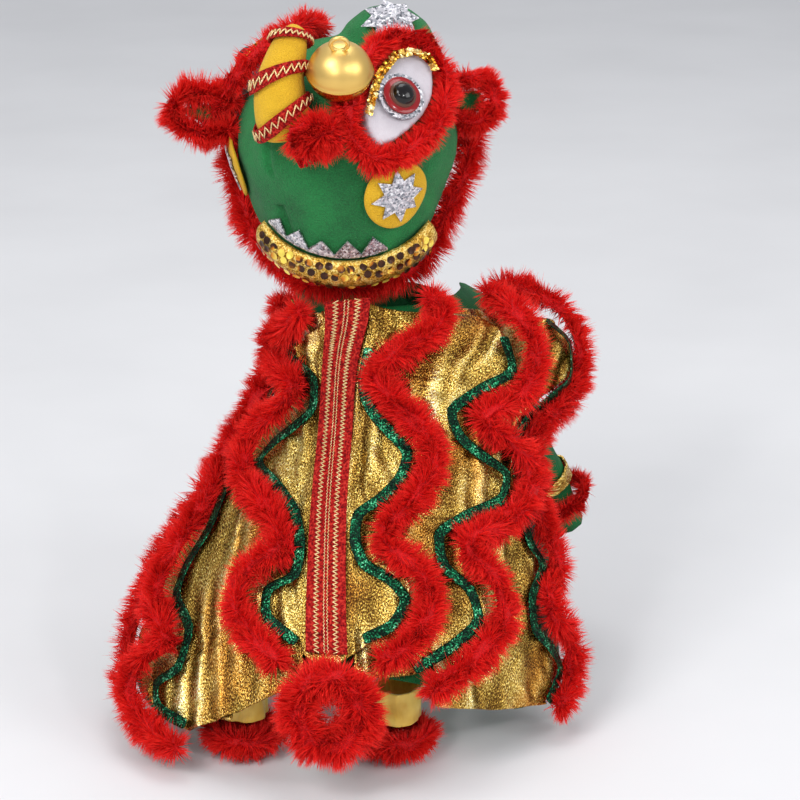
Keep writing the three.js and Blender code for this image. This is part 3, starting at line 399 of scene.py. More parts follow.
def fur(node, strands, pile, seed, outside=None):
    """Fur on the form of a CAD node; the lengths of PILE are shares of the pile.

    A strand's root is a random skin point moved in by "root". Its tip starts from "start" below the skin and
    goes on by "short" to "long" along the way out, leaned by a soft field and by gravity and drawn to the
    middle of its tuft. The backing is the form moved in by "core".
    """
    rng = np.random.default_rng(seed)
    points, tris = halve(*cad_form(node))
    points = relax(points, tris, 2)
    normal = point_normals(points, tris)
    a, b, c = (points[tris[:, k]] for k in range(3))
    area = np.linalg.norm(np.cross(b - a, c - a), axis=1)
    if outside is not None:
        area = area * outside(points[tris].mean(axis=1), unit(normal[tris].mean(axis=1)))
    pick = tris[rng.choice(len(tris), strands, p=area / area.sum())]
    share = rng.dirichlet((1, 1, 1), strands)[..., None]
    skin = (points[pick] * share).sum(axis=1)
    way = unit((normal[pick] * share).sum(axis=1))
    lean = np.stack([waves(skin, LEAN["size"], seed + k) for k in range(3)], axis=1)
    stray = rng.normal(scale=LEAN["stray"], size=(strands, 3))
    lean = LEAN["most"] * lean + stray - np.array([0, 0, STRAND["droop"]])
    tip_way = unit(way + lean - way * (lean * way).sum(axis=1, keepdims=True) * LEAN["flat"])
    root = skin - way * pile * PILE["root"]
    length = pile * rng.uniform(PILE["short"], PILE["long"], (strands, 1))
    tip = skin - way * pile * PILE["start"] + tip_way * length
    tip = tip + STRAND["gather"] * (tuft_means(tip, STRAND["tuft"], seed + 50) - tip)
    mid = 0.5 * (root + tip) + way * pile * PILE["bow"]
    side = unit(np.cross(tip - root, rng.normal(size=(strands, 3)))) * STRAND["width"] / 2
    waist = STRAND["waist"] * side
    blade = np.stack([root - side, root + side, mid - waist, mid + waist, tip], axis=1)
    corners = blade.shape[1]
    first = np.arange(strands)[:, None] * corners
    faces = np.concatenate([first + np.array(corner) for corner in [(0, 1, 3), (0, 3, 2), (2, 3, 4)]])
    along = np.tile([ALONG[key] for key in ("root", "root", "middle", "middle", "tip")], strands)
    own = rng.normal(TINT["mean"], TINT["spread"], strands)
    tint = np.clip(own + TINT["patch"] * waves(skin, TINT["size"], seed + 9), 0, 1)
    core = points - normal * pile * PILE["core"]
    put(
        node + "_pile",
        np.concatenate([blade.reshape(-1, 3), core]),
        np.concatenate([faces, tris + strands * corners]),
        FUR,
        "red_fur",
        nodes=[node],
        floats={
            "along": np.concatenate([along, np.full(len(core), ALONG["core"])]),
            "tint": np.concatenate([np.repeat(tint, corners), np.full(len(core), TINT["core"])]),
        },
    )


def not_inward(points, normals):
    """One where the skin faces out of the cape or sideways, nothing where it faces straight in."""
    _, _, out = on_cape(points)
    return ((normals * out).sum(axis=1) > -0.8).astype(float)


CAPE_PILE = 8.5
CAPE_FUR = [
    # node, strands, seed
    ("fur_center_right", 15000, 11),
    ("fur_center_left", 16000, 12),
    ("fur_right_1", 16500, 13),
    ("fur_left_1", 18500, 14),
    ("fur_right_2", 17500, 15),
    ("fur_left_2", 10500, 16),
]
LOOSE_FUR = [
    # node, strands, pile (mm), seed
    ("hat_rim_fur", 25000, 9.5, 21),
    ("eye_fur_right", 13000, 7.5, 22),
    ("eye_fur_left", 8000, 7.5, 23),
    ("ear_fur_right", 6000, 7, 24),
    ("ear_fur_left", 8500, 9.5, 25),
    ("nose_tuft", 6000, 8.5, 26),
    ("sleeve_fur_right", 5500, 8, 27),
    ("sleeve_fur_left", 5000, 8, 28),
    ("rear_fur_left", 6000, 7.5, 29),
    ("rear_fur_right", 6000, 7.5, 30),
    ("tail_fur", 11500, 9.5, 31),
]
for node, strands, seed in CAPE_FUR:
    fur(node, strands, CAPE_PILE * MM, seed, not_inward)
for node, strands, pile, seed in LOOSE_FUR:
    fur(node, strands, pile * MM, seed)
print("fur strands:", sum(row[1] for row in CAPE_FUR + LOOSE_FUR))

# %% [markdown]
# ## Gold lame
# Lame is a thin cloth with a metal face that crinkles into thousands of tiny bright and dark facets. Its
# colour is painted light and shade: fine specks, wide crinkles and patches of soft folds run from painted
# shade through gold to a painted highlight, amber patches are a painted reflection of the red fur, and a bump
# turns each facet its own way, so the lights sparkle in it.

# %% The lame finish
def gold_lame():
    finish = Finish("gold_lame")
    where = finish.place(uv=True, scale=(1.0, 0.6, 1.0))
    speck = finish.noise(where, 1500.0, 2.0)
    wide = finish.noise(where, 40.0, 3.0)
    fold = finish.node(
        "TexWave",
        {"bands_direction": "X"},
        {
            "Vector": finish.place(uv=True, scale=(1.0, 0.22, 1.0)),
            "Scale": 26.0,
            "Distortion": 9.0,
            "Detail": 2.0,
            "Detail Scale": 0.8,
        },
    )
    patch = finish.ramp(finish.noise(where, 24.0, 1.0), (0.42, (0.1, 0.1, 0.1)), (0.60, (1.0, 1.0, 1.0)))
    fold = fold * patch
    # This sum drives painted light and shade: specks, crinkles and soft folds make the gold darker or
    # brighter.
    light_and_shade = speck * 0.62 + wide * 0.42 + fold * 0.12
    # The dark stops are painted shade and the pale top stop is a painted highlight.
    gold = finish.ramp(
        light_and_shade,
        (0.45, (0.09, 0.036, 0.004)),
        (0.54, (0.46, 0.27, 0.04)),
        (0.62, (0.90, 0.68, 0.19)),
        (0.72, (1.0, 0.95, 0.62)),
    )
    # The amber is a painted reflection of the red fur, and it is darker than the gold, so it is painted shade
    # too.
    amber_reflection = finish.ramp(
        light_and_shade, (0.45, (0.08, 0.022, 0.003)), (0.58, (0.50, 0.20, 0.02)), (0.74, (0.95, 0.60, 0.15))
    )
    # shade picks the patches that turn to amber: painted shade and a painted reflection of the red fur.
    shade = finish.ramp(finish.noise(where, 30.0, 2.0), (0.47, (0.0, 0.0, 0.0)), (0.62, (0.85, 0.85, 0.85)))
    colour = finish.blend(shade, gold, amber_reflection)
    height = fold * 1.3 + wide * 3.0 + speck * 0.3
    return finish.surface(
        bump=height, depth=0.0018, Base_Color=colour, Metallic=0.88, Roughness=0.14 + 0.22 * speck
    )


LAME = gold_lame()

# %% [markdown]
# ## Cloth from the solids
# The strips are sewn along one side and pulled by the fur on the other, so folds run down the back and
# slant towards the notches. We cut the solid's triangles finer, ease its edges, then move its points along
# the way out of the cape by a sum of slanted waves. The folds go mostly inwards, so braid and tape stay on
# top.

# %% The gold strips
FOLD_SIZE = {
    # from fold to fold (mm)
    "slant": 17, "sway": 95, "pull": 12, "drift": 60, "crease": 9, "calm": 48, "long": 8.5, "bend": 110
}
FOLD_DEPTH = {
    # depth of each kind, and the bounds of their sum (mm)
    "slant": 1.3, "pull": 1.0, "long": 1.5, "crease": 0.7, "sink": 0.6, "deepest": -2.2, "highest": 0.6
}
BESIDE_BRAID = {"edge": 9.5 * MM, "fade": 3 * MM, "middle": 15 * MM, "reach": 7 * MM}


def fold_depth(down, across, seed):
    """Depth of the folds: slanted sine folds, long ones beside the braid, and a soft uneven field."""
    turn = {name: 2 * np.pi / (size * MM) for name, size in FOLD_SIZE.items()}
    spot = np.stack([across, down * 0.55, np.zeros(len(down))], axis=1)
    slant = np.sin(across * turn["slant"] + 1.7 * np.sin(down * turn["sway"] + seed))
    drift = 3 * waves(spot, FOLD_SIZE["drift"] * MM, seed)
    pull = np.sin((across * 0.75 - down * 0.55) * turn["pull"] + drift)
    crease = waves(spot, FOLD_SIZE["crease"] * MM, seed + 5)
    calm = 0.5 + 1.2 * waves(spot, FOLD_SIZE["calm"] * MM, seed + 2)
    side = np.abs(across)
    clear = np.clip((side - BESIDE_BRAID["edge"]) / BESIDE_BRAID["fade"], 0, 1)
    long = np.sin(side * turn["long"] + 1.4 * np.sin(down * turn["bend"] + seed))
    by_braid = np.exp(-(((side - BESIDE_BRAID["middle"]) / BESIDE_BRAID["reach"]) ** 2))
    depth = calm * (FOLD_DEPTH["slant"] * slant + FOLD_DEPTH["pull"] * pull)
    depth = depth + FOLD_DEPTH["long"] * by_braid * long + FOLD_DEPTH["crease"] * crease - FOLD_DEPTH["sink"]
    return np.clip(depth, FOLD_DEPTH["deepest"], FOLD_DEPTH["highest"]) * clear * MM


def strip_of_lame(node, seed, rests_on):
    """A strip: its solid cut finer, eased and folded, and the size it was cut to printed."""
    points, tris = halve(*cad_form(node), times=3)
    points = relax(points, tris, 2)
    down, across, out = on_cape(points)
    points = points + out * fold_depth(down, across, seed)[:, None]
    uv = np.stack([across, down], axis=1)
    strip = put(node + "_lame", points, tris, LAME, "gold_lame", nodes=[node], uv=uv)
    declare_sheet(strip, points, tris, np.ptp(across), np.ptp(down), "hung", rests_on)


def declare_sheet(piece, points, tris, wide, long, held, rests_on):
    """Prints the size a cloth was cut to; the cloth's own area is half of its wall's skin.

    A cloth can't have more area than its cut, so where folds take more than width times length, the cut was
    wider.
    """
    a, b, c = (points[tris[:, k]] for k in range(3))
    area = float(np.linalg.norm(np.cross(b - a, c - a), axis=1).sum() / 4)
    cut = max(float(wide), area / float(long) * 1.02)
    if cut > wide:
        print(piece.name, "is wider than it hangs:", round(float(wide), 3), "becomes", round(cut, 3))
    print(piece.name, "flat", round(cut, 3), "by", round(float(long), 3), "area", round(area, 4))


STRIPS = {"center": 41, "right_1": 42, "left_1": 43, "right_2": 44, "left_2": 45}
for strip, seed in STRIPS.items():
    strip_of_lame("panel_" + strip, seed, ["cape_base"])

# %% [markdown]
# ## Green cloth, tape and satin
# The backing, the vest and the sleeves are plain dull green cloth. The tape beside the fur is woven with
# metal thread; it is dark green with painted glints in its colour. Yellow satin makes the rear cuffs.

# %% Cloth finishes
def green_cloth():
    finish = Finish("green_cloth")
    where = finish.place(uv=True)
    wide = finish.noise(where, 60.0)
    threads = {"Vector": where, "Scale": 260.0, "Distortion": 0.6}
    weave = finish.node("TexWave", {"bands_direction": "X"}, threads)
    colour = finish.ramp(wide, (0.3, (0.001, 0.065, 0.016)), (0.7, (0.006, 0.16, 0.040)))
    return finish.surface(
        bump=weave * 0.3 + wide, depth=0.0007, Base_Color=colour, Roughness=0.55, Specular_IOR_Level=0.2
    )


def green_tape():
    finish = Finish("green_tape")
    where = finish.place()
    fine = finish.noise(where, 1150.0, 2.0)
    wide = finish.noise(where, 160.0)
    # The bright mint top stops are painted glints on the dark green.
    colour = finish.ramp(
        fine * 0.7 + wide * 0.4,
        (0.50, (0.0, 0.008, 0.004)),
        (0.59, (0.001, 0.050, 0.018)),
        (0.67, (0.014, 0.30, 0.12)),
        (0.75, (0.36, 0.88, 0.56)),
    )
    return finish.surface(
        bump=fine * 0.4 + wide, depth=0.0009, Base_Color=colour, Metallic=0.85, Roughness=0.22 + 0.15 * fine
    )


def yellow_satin():
    finish = Finish("yellow_satin")
    where = finish.place()
    wide = finish.noise(where, 80.0)
    thread = finish.noise(finish.place(scale=(1.0, 1.0, 0.15)), 1400.0, 2.0)
    colour = finish.ramp(wide, (0.3, (0.70, 0.42, 0.035)), (0.7, (0.95, 0.70, 0.13)))
    return finish.surface(
        bump=thread * 0.4 + wide, depth=0.0006, Base_Color=colour, Roughness=0.36, Sheen_Weight=0.2
    )


CLOTH, TAPE, SATIN = green_cloth(), green_tape(), yellow_satin()

# %% Pieces of cloth that follow their solids
def soft_cloth(node, finish, slot, sheet=None, times=2, rounds=2, ripple=0.0, size=14 * MM, seed=1):
    """A cloth solid cut finer and eased, rippled along its own way out by a soft field of one size.

    A sheet is its flat width and length, how it is held and what it rests on; narrow bands have none.
    """
    points, tris = halve(*cad_form(node), times=times)
    points = relax(points, tris, rounds)
    if ripple:
        middle = points.mean(axis=0)
        out = unit((points - middle) * np.array([1.0, 1.0, 0.0]))
        points = points + out * (ripple * waves(points * np.array([1.0, 1.0, 0.45]), size, seed))[:, None]
    down, across, _ = on_cape(points)
    uv = np.stack([across, down], axis=1)
    piece = put(node + "_cloth", points, tris, finish, slot, nodes=[node], uv=uv)
    if sheet:
        declare_sheet(piece, points, tris, *sheet)


soft_cloth("cape_base", CLOTH, "green_cloth", (0.300, 0.255, "hung", ["vest"]))
soft_cloth("vest", CLOTH, "green_cloth", (0.330, 0.095, "stretched", ["cape_base"]), rounds=4,
           ripple=1.0 * MM, seed=3)
for side, seed in (("right", 4), ("left", 5)):
    soft_cloth("sleeve_" + side, CLOTH, "green_cloth", (0.090, 0.095, "stretched", ["vest"]), rounds=4,
               ripple=1.2 * MM, size=16 * MM, seed=seed)
    soft_cloth("sleeve_cuff_" + side, LAME, "gold_lame", times=3)
    soft_cloth("rear_cuff_" + side, SATIN, "yellow_satin", (0.080, 0.018, "gathered", ["rear_fur_" + side]),
               times=3, ripple=2.0 * MM, size=9 * MM, seed=seed)
for tape in ("center_right", "center_left", "right_1", "left_1", "right_2"):
    soft_cloth("tape_" + tape, TAPE, "green_tape")
soft_cloth("lip_tape", TAPE, "green_tape", rounds=1)

# %% [markdown]
# ## The braid down the spine
# A woven red band runs from the neck to the tail, with a column of gold zigzag thread on either side and
# two fine rows in the middle. The band is a thin closed surface on the cape, and each thread is a round
# section carried along a zigzag path just above it.

# %% Braid and gold thread
def red_braid():
    finish = Finish("red_braid")
    where = finish.place()
    weave = finish.cells(where, 900.0)
    wide = finish.noise(where, 420.0)
    colour = finish.ramp(
        weave * 0.5 + wide * 0.6,
        (0.36, (0.12, 0.0, 0.001)),
        (0.56, (0.38, 0.004, 0.004)),
        (0.82, (0.72, 0.05, 0.03)),
    )
    return finish.surface(
        bump=weave, depth=0.0008, Base_Color=colour, Roughness=0.6, Specular_IOR_Level=0.15
    )


def gold_thread():
    finish = Finish("gold_thread")
    fine = finish.noise(finish.place(), 1500.0, 2.0)
    colour = finish.ramp(fine, (0.35, (0.66, 0.36, 0.10)), (0.65, (1.0, 0.82, 0.48)))
    return finish.surface(bump=fine, depth=0.0003, Base_Color=colour, Metallic=0.75, Roughness=0.35)


BRAID, THREAD = red_braid(), gold_thread()


def tube(path, radius, sides=5):
    """A round section carried along a path; its side and up come from the tangent and a steady direction."""
    tangent = unit(np.gradient(path, axis=0))
    steady = np.where(np.abs(tangent[:, 1:2]) < 0.9, [[0.0, 1.0, 0.0]], [[1.0, 0.0, 0.0]])
    side = unit(np.cross(tangent, steady))
    up = np.cross(side, tangent)
    turn = np.linspace(0, 2 * np.pi, sides, endpoint=False)
    ring = np.cos(turn)[:, None] * side[:, None] + np.sin(turn)[:, None] * up[:, None]
    points = path[:, None] + ring * np.reshape(radius, (-1, 1, 1))
    return points.reshape(-1, 3), grid_faces(len(path), sides, wrap=True)


def joined(parts):
    """Several point and face arrays as one pair."""
    starts = np.cumsum([0] + [len(points) for points, _ in parts[:-1]])
    points = np.concatenate([points for points, _ in parts])
    return points, np.concatenate([faces + start for (_, faces), start in zip(parts, starts)])


def zigzag(count):
    """Places along a thread, and a wave of straight strokes that stops a little short of -1 and 1."""
    steps_each = 6
    t = np.linspace(0, 1, count * steps_each + 1)
    wave = 2 * np.abs(2 * ((t * count) % 1) - 1) - 1
    return t, 0.92 * wave


def squared(values, power):
    """Bends the size of values by a power below one and keeps their sign: a circle becomes a rounded box."""
    return np.sign(values) * np.abs(values) ** power


BRAID_BAND = {"half": 9.5 * MM, "from": 4 * MM, "to": 196 * MM, "lift": 12 * MM, "thick": 1.2 * MM}
BRAID_NET = {"rows": 160, "around": 28}
COLUMNS = [
    # across, swing, radius (mm), strokes
    (-4.5, 1.35, 0.34, 90),
    (4.5, -1.35, 0.34, 90),
    (-0.8, 0.35, 0.2, 120),
    (0.8, -0.35, 0.2, 120),
]


def spine_braid():
    """The band, a closed rounded section carried down the spine, and the gold threads that lie on it."""
    rows, around = BRAID_NET["rows"], BRAID_NET["around"]
    turn = np.linspace(0, 2 * np.pi, around, endpoint=False)
    across = BRAID_BAND["half"] * squared(np.cos(turn), 0.5)
    lift = BRAID_BAND["lift"] + BRAID_BAND["thick"] * (0.5 + 0.5 * squared(np.sin(turn), 0.3))
    down = np.linspace(BRAID_BAND["from"], BRAID_BAND["to"], rows)
    d, a = np.meshgrid(down, across, indexing="ij")
    points = cape(d, a, np.broadcast_to(lift, d.shape)).reshape(-1, 3)
    upper = np.arange(around // 2 - 1)
    lower = around - 1 - upper
    caps = np.stack([upper, lower, lower - 1, upper + 1], axis=1)
    end = (rows - 1) * around
    faces = np.concatenate([grid_faces(rows, around, wrap=True), caps, caps[:, ::-1] + end])
    band = put("braid_band_weave", points, faces, BRAID, "red_braid", nodes=["braid_band"])
    top = BRAID_BAND["lift"] + BRAID_BAND["thick"] + 0.25 * MM
    threads = []
    for middle, swing, radius, strokes in COLUMNS:
        t, wave = zigzag(strokes)
        down = BRAID_BAND["from"] + t * (BRAID_BAND["to"] - BRAID_BAND["from"])
        path = cape(down, (middle + swing * wave) * MM, np.full(len(t), top))
        threads.append(tube(path, radius * MM))
    put("braid_zigzag", *joined(threads), THREAD, "gold_lame")


spine_braid()
print("braid strokes:", sum(row[3] for row in COLUMNS))

# %% [markdown]
# ## The hood
# The hood is a padded ball with a bump at the crown. An even net drawn over the solid can be eased until
# the facets are gone, and a groove pushed in along a plane gives the seam of the muzzle.

# %% Plush and felt finishes
def pile_cloth(name, dark, light, pile_scale, sheen):
    """Short-piled cloth: a fine noise for the pile, a wide one for the way it is brushed."""
    finish = Finish(name)
    where = finish.place()
    pile = finish.noise(where, pile_scale, 4.0)
    brushed = finish.noise(where, 45.0, 4.0)
    colour = finish.ramp(pile * 0.5 + brushed * 0.55, (0.32, dark), (0.72, light))
    return finish.surface(
        bump=pile + brushed * 0.6, depth=0.0011, Base_Color=colour, Roughness=0.85, Sheen_Weight=sheen,
        Sheen_Roughness=0.4
    )


PLUSH = pile_cloth("green_plush", (0.002, 0.078, 0.018), (0.012, 0.26, 0.058), 1300.0, 0.06)
FELT = pile_cloth("yellow_felt", (0.64, 0.34, 0.004), (0.92, 0.56, 0.02), 1500.0, 0.05)

# %% Nets over the padded forms
HUB = np.array([-13.0, -6.0, 73.0]) * MM
SEAM = {"normal": unit(np.array([0.743, -0.647, 0.171])), "depth": 2.4 * MM, "half": 2.1 * MM}
OUTER_WALL = 58 * MM
SOFT_LUMPS = {"depth": 0.8 * MM, "size": 34 * MM}


def netted(node, step, rounds):
    """An even net over a CAD solid: a voxel remesh of a copy, then eased for some rounds."""
    mesh = bpy.data.meshes.new("net")
    points, tris = cad_form(node)
    mesh.from_pydata(points.tolist(), [], tris.tolist())
    copy = bpy.data.objects.new("net", mesh)
    bpy.context.scene.collection.objects.link(copy)
    remesh = copy.modifiers.new("net", "REMESH")
    remesh.mode = "VOXEL"
    remesh.voxel_size = step
    done = copy.evaluated_get(bpy.context.evaluated_depsgraph_get()).to_mesh()
    done.calc_loop_triangles()
    points = np.empty(len(done.vertices) * 3)
    done.vertices.foreach_get("co", points)
    tris = np.empty(len(done.loop_triangles) * 3, dtype=np.int64)
    done.loop_triangles.foreach_get("vertices", tris)
    bpy.data.objects.remove(copy)
    bpy.data.meshes.remove(mesh)
    points, tris = points.reshape(-1, 3), tris.reshape(-1, 3)
    return relax(points, tris, rounds), tris


def hood():
    """The hood: a net over the solid, its seam pressed in where a plane through the hub cuts the muzzle."""
    points, tris = netted("hat_shell", 1.9 * MM, 8)
    from_hub = points - HUB
    way = unit(from_hub)
    off_seam = from_hub @ SEAM["normal"]
    outer = np.linalg.norm(from_hub, axis=1) > OUTER_WALL
    muzzle = np.clip((-way[:, 1] - 0.25) / 0.3, 0, 1) * outer
    press = SEAM["depth"] * np.exp(-((off_seam / SEAM["half"]) ** 2)) * muzzle
    soft = SOFT_LUMPS["depth"] * waves(points, SOFT_LUMPS["size"], 61) * muzzle
    points = points + way * (soft - press)[:, None]
    piece = put("hat_shell_plush", points, tris, PLUSH, "green_plush", nodes=["hat_shell"])
    for side in ("right", "left"):
        ear = put("ear_" + side + "_plush", *netted("ear_" + side, 0.7 * MM, 6), PLUSH, "green_plush",
                  nodes=["ear_" + side])
    return len(tris)


print("hood triangles:", hood())

# %% [markdown]
# ## Stuffed pieces
# The lip and the horn are stuffed, so their cloth is tight. Blender's cloth with a little pressure inside
# swells a net the way wadding does. Gravity is off, each point may move only so far, and the result is kept
# as a mesh.

# %% Cloth simulation for the stuffed pieces
STUFFING = {"frames": 16, "quality": 6, "pressure": 4.0}


def stuffed(node, step, cap):
    """A net over a CAD solid, swollen by cloth pressure for some frames; no point moves further than cap."""
    points, tris = netted(node, step, 4)
    mesh = bpy.data.meshes.new("stuffing")
    mesh.from_pydata(points.tolist(), [], tris.tolist())
    body = bpy.data.objects.new("stuffing", mesh)
    bpy.context.scene.collection.objects.link(body)
    cloth = body.modifiers.new("cloth", "CLOTH")
    cloth.settings.quality = STUFFING["quality"]
    cloth.settings.use_pressure = True
    cloth.settings.uniform_pressure_force = STUFFING["pressure"]
    cloth.settings.effector_weights.gravity = 0.0
    cloth.point_cache.frame_end = STUFFING["frames"]
    scene = bpy.context.scene
    for moment in range(1, STUFFING["frames"] + 1):
        scene.frame_set(moment)
    done = body.evaluated_get(bpy.context.evaluated_depsgraph_get()).to_mesh()
    swollen = np.empty(len(points) * 3)
    done.vertices.foreach_get("co", swollen)
    scene.frame_set(1)
    bpy.data.objects.remove(body)
    bpy.data.meshes.remove(mesh)
    move = swollen.reshape(-1, 3) - points
    far = np.linalg.norm(move, axis=1, keepdims=True)
    move = move * np.minimum(1.0, cap / np.maximum(far, 1e-9))
    print(node, "swells by up to", round(float(far.max()) / MM, 2), "mm before the cap")
    return relax(points + move, tris, 3), tris


def gold_sequin():
    """Mirror-bright gilt plastic, a little uneven from sequin to sequin."""
    finish = Finish("gold_sequin")
    flake = finish.flakes(finish.place(), 240.0)
    colour = finish.ramp(
        flake, (0.1, (0.42, 0.17, 0.012)), (0.6, (0.92, 0.56, 0.09)), (0.95, (1.0, 0.86, 0.45))
    )
    return finish.surface(Base_Color=colour, Metallic=0.95, Roughness=0.16 + 0.2 * flake)


def lip_sequin():
    """Flat gilt discs, dark or bright in groups as a painted reflection of neighbours that lie alike."""
    finish = Finish("lip_sequin")
    where = finish.place()
    flake = finish.flakes(where, 240.0)
    group = finish.noise(where, 70.0, 1.0)
    # The dark and bright stops, laid on in groups, are a painted reflection.
    colour = finish.ramp(
        group * 0.8 + flake * 0.2,
        (0.42, (0.035, 0.010, 0.003)),
        (0.50, (0.07, 0.020, 0.005)),
        (0.54, (0.62, 0.20, 0.012)),
        (0.60, (1.0, 0.78, 0.12)),
    )
    return finish.surface(Base_Color=colour, Metallic=0.5, Roughness=0.3)


SEQUIN, LIP_SEQUIN = gold_sequin(), lip_sequin()


def lip_cloth():
    """Gold glitter cloth: fine flakes of several golds."""
    finish = Finish("lip_cloth")
    where = finish.place()
    flake = finish.noise(where, 1100.0, 3.0)
    wide = finish.noise(where, 120.0)
    colour = finish.ramp(
        flake * 0.8 + wide * 0.4,
        (0.42, (0.16, 0.06, 0.006)),
        (0.58, (0.66, 0.36, 0.035)),
        (0.74, (1.0, 0.80, 0.28)),
    )
    return finish.surface(bump=flake, depth=0.0006, Base_Color=colour, Metallic=0.7, Roughness=0.36)


LIP_CLOTH = lip_cloth()

lip_points, lip_tris = stuffed("lip_band", 1.6 * MM, 1.2 * MM)
lip = put("lip_band_cloth", lip_points, lip_tris, LIP_CLOTH, "gold_sequin", nodes=["lip_band"])
horn_points, horn_tris = stuffed("horn", 1.6 * MM, 0.8 * MM)
horn_points = relax(horn_points, horn_tris, 6)
horn = put("horn_felt", horn_points, horn_tris, FELT, "yellow_felt", nodes=["horn"])

# %% [markdown]
# ## Sequins
# Sequins are small cupped discs sewn in staggered rows. One disc is a ring of points around a sunk middle,
# and a whole field is that disc placed many times by arrays. Each gets a centre, a way out and a little
# random tilt.

# %% Sequins on the lip and along the eyes
AXIS = unit(np.array([0.0, -0.73, 0.683]))
CHIN = unit(np.array([0.0, -0.683, -0.73]))
SIDE = np.array([1.0, 0.0, 0.0])


def by_axis(polar, around):
    """Direction from the hub by the angle from the hood's axis and the turn about it, in degrees."""
    p, a = np.radians(polar)[..., None], np.radians(around)[..., None]
    return np.cos(p) * AXIS + np.sin(p) * (np.cos(a) * CHIN + np.sin(a) * SIDE)


def by_compass(azimuth, elevation):
    """Direction from the hub by azimuth from the back of the costume and elevation, in degrees."""
    a, e = np.radians(azimuth), np.radians(elevation)
    return np.stack([np.sin(a) * np.cos(e), -np.cos(a) * np.cos(e), np.sin(e)], axis=-1)


def sequins(centers, ways, radius, tilt, seed, sides=10):
    """Cupped discs: a ring of points around each centre, and a middle sunk by a sixth of the radius."""
    rng = np.random.default_rng(seed)
    ways = unit(ways + rng.normal(scale=tilt, size=ways.shape))
    u = unit(np.cross(ways, [[0.3, 0.1, 1.0]]))
    v = np.cross(ways, u)
    turn = np.linspace(0, 2 * np.pi, sides, endpoint=False)[:, None]
    ring = centers[:, None] + radius * (np.cos(turn) * u[:, None] + np.sin(turn) * v[:, None])
    middle = centers - ways * radius / 6
    points = np.concatenate([ring, middle[:, None]], axis=1).reshape(-1, 3)
    first = np.arange(len(centers))[:, None, None] * (sides + 1)
    j = np.arange(sides)
    fan = np.stack([j, (j + 1) % sides, np.full(sides, sides)], axis=1)
    return points, (first + fan).reshape(-1, 3)


LIP = {"from": 82.5, "to": 94.0, "half": 42.0, "rows": 3, "across": 19, "reach": 76 * MM}
LIP_DISC = {"radius": 2.1 * MM, "lift": 0.9 * MM, "tilt": 0.08}


def lip_sequins():
    """Staggered rows over the lip: each centre is the lip's nearest point to that of its row and column."""
    row, column = np.meshgrid(np.arange(LIP["rows"]), np.arange(LIP["across"]), indexing="ij")
    polar = LIP["from"] + (LIP["to"] - LIP["from"]) * row / (LIP["rows"] - 1)
    around = LIP["half"] * (2 * (column + 0.5 * (row % 2)) / LIP["across"] - 1)
    target = HUB + by_axis(polar.ravel(), around.ravel()) * LIP["reach"]
    normals = point_normals(lip_points, lip_tris)
    near = ((target[:, None] - lip_points[None]) ** 2).sum(axis=2).argmin(axis=1)
    centers = lip_points[near] + normals[near] * LIP_DISC["lift"]
    discs = sequins(centers, normals[near], LIP_DISC["radius"], LIP_DISC["tilt"], 71)
    put("lip_sequins", *discs, LIP_SEQUIN, "gold_sequin", smooth=False)
    return len(centers)


print("lip sequins:", lip_sequins())

# %% [markdown]
# ## The eyes
# Each eye is a leaf of white satin on a pad, edged with sequins, with a silver disc and a glossy plastic
# ball. The ball is a profile turned about the eye's axis. The distance from that axis tells flange, ring
# and dome apart.

# %% Eye finishes
def white_satin():
    finish = Finish("white_satin")
    where = finish.place()
    wide = finish.noise(where, 55.0)
    thread = finish.noise(finish.place(scale=(1.0, 1.0, 0.1)), 1600.0, 2.0)
    colour = finish.ramp(wide, (0.3, (0.44, 0.40, 0.44)), (0.7, (0.60, 0.56, 0.60)))
    return finish.surface(
        bump=wide + thread * 0.2, depth=0.0012, Base_Color=colour, Roughness=0.38, Sheen_Weight=0.3
    )


def silver_glitter():
    finish = Finish("silver_glitter")
    flake = finish.flakes(finish.place(), 950.0)
    colour = finish.ramp(
        flake,
        (0.0, (0.16, 0.17, 0.20)),
        (0.35, (0.45, 0.46, 0.50)),
        (0.7, (0.66, 0.62, 0.66)),
        (1.0, (0.95, 0.95, 0.97)),
    )
    return finish.surface(
        bump=flake, depth=0.0006, Base_Color=colour, Metallic=0.85, Roughness=0.22 + 0.25 * flake
    )


def eye_plastic():
    finish = Finish("eye_plastic")
    zone = finish.attribute("zone")
    colour = finish.ramp(
        zone,
        (0.0, (0.003, 0.002, 0.003)),
        (0.56, (0.004, 0.003, 0.003)),
        (0.60, (0.10, 0.045, 0.025)),
        (0.69, (0.10, 0.040, 0.025)),
        (0.73, (0.30, 0.006, 0.008)),
        (1.0, (0.24, 0.004, 0.007)),
    )
    return finish.surface(
        Base_Color=colour, Roughness=0.2, Specular_IOR_Level=0.25, Coat_Weight=0.35, Coat_Roughness=0.04
    )


WHITE, SILVER, EYE_GLOSS = white_satin(), silver_glitter(), eye_plastic()

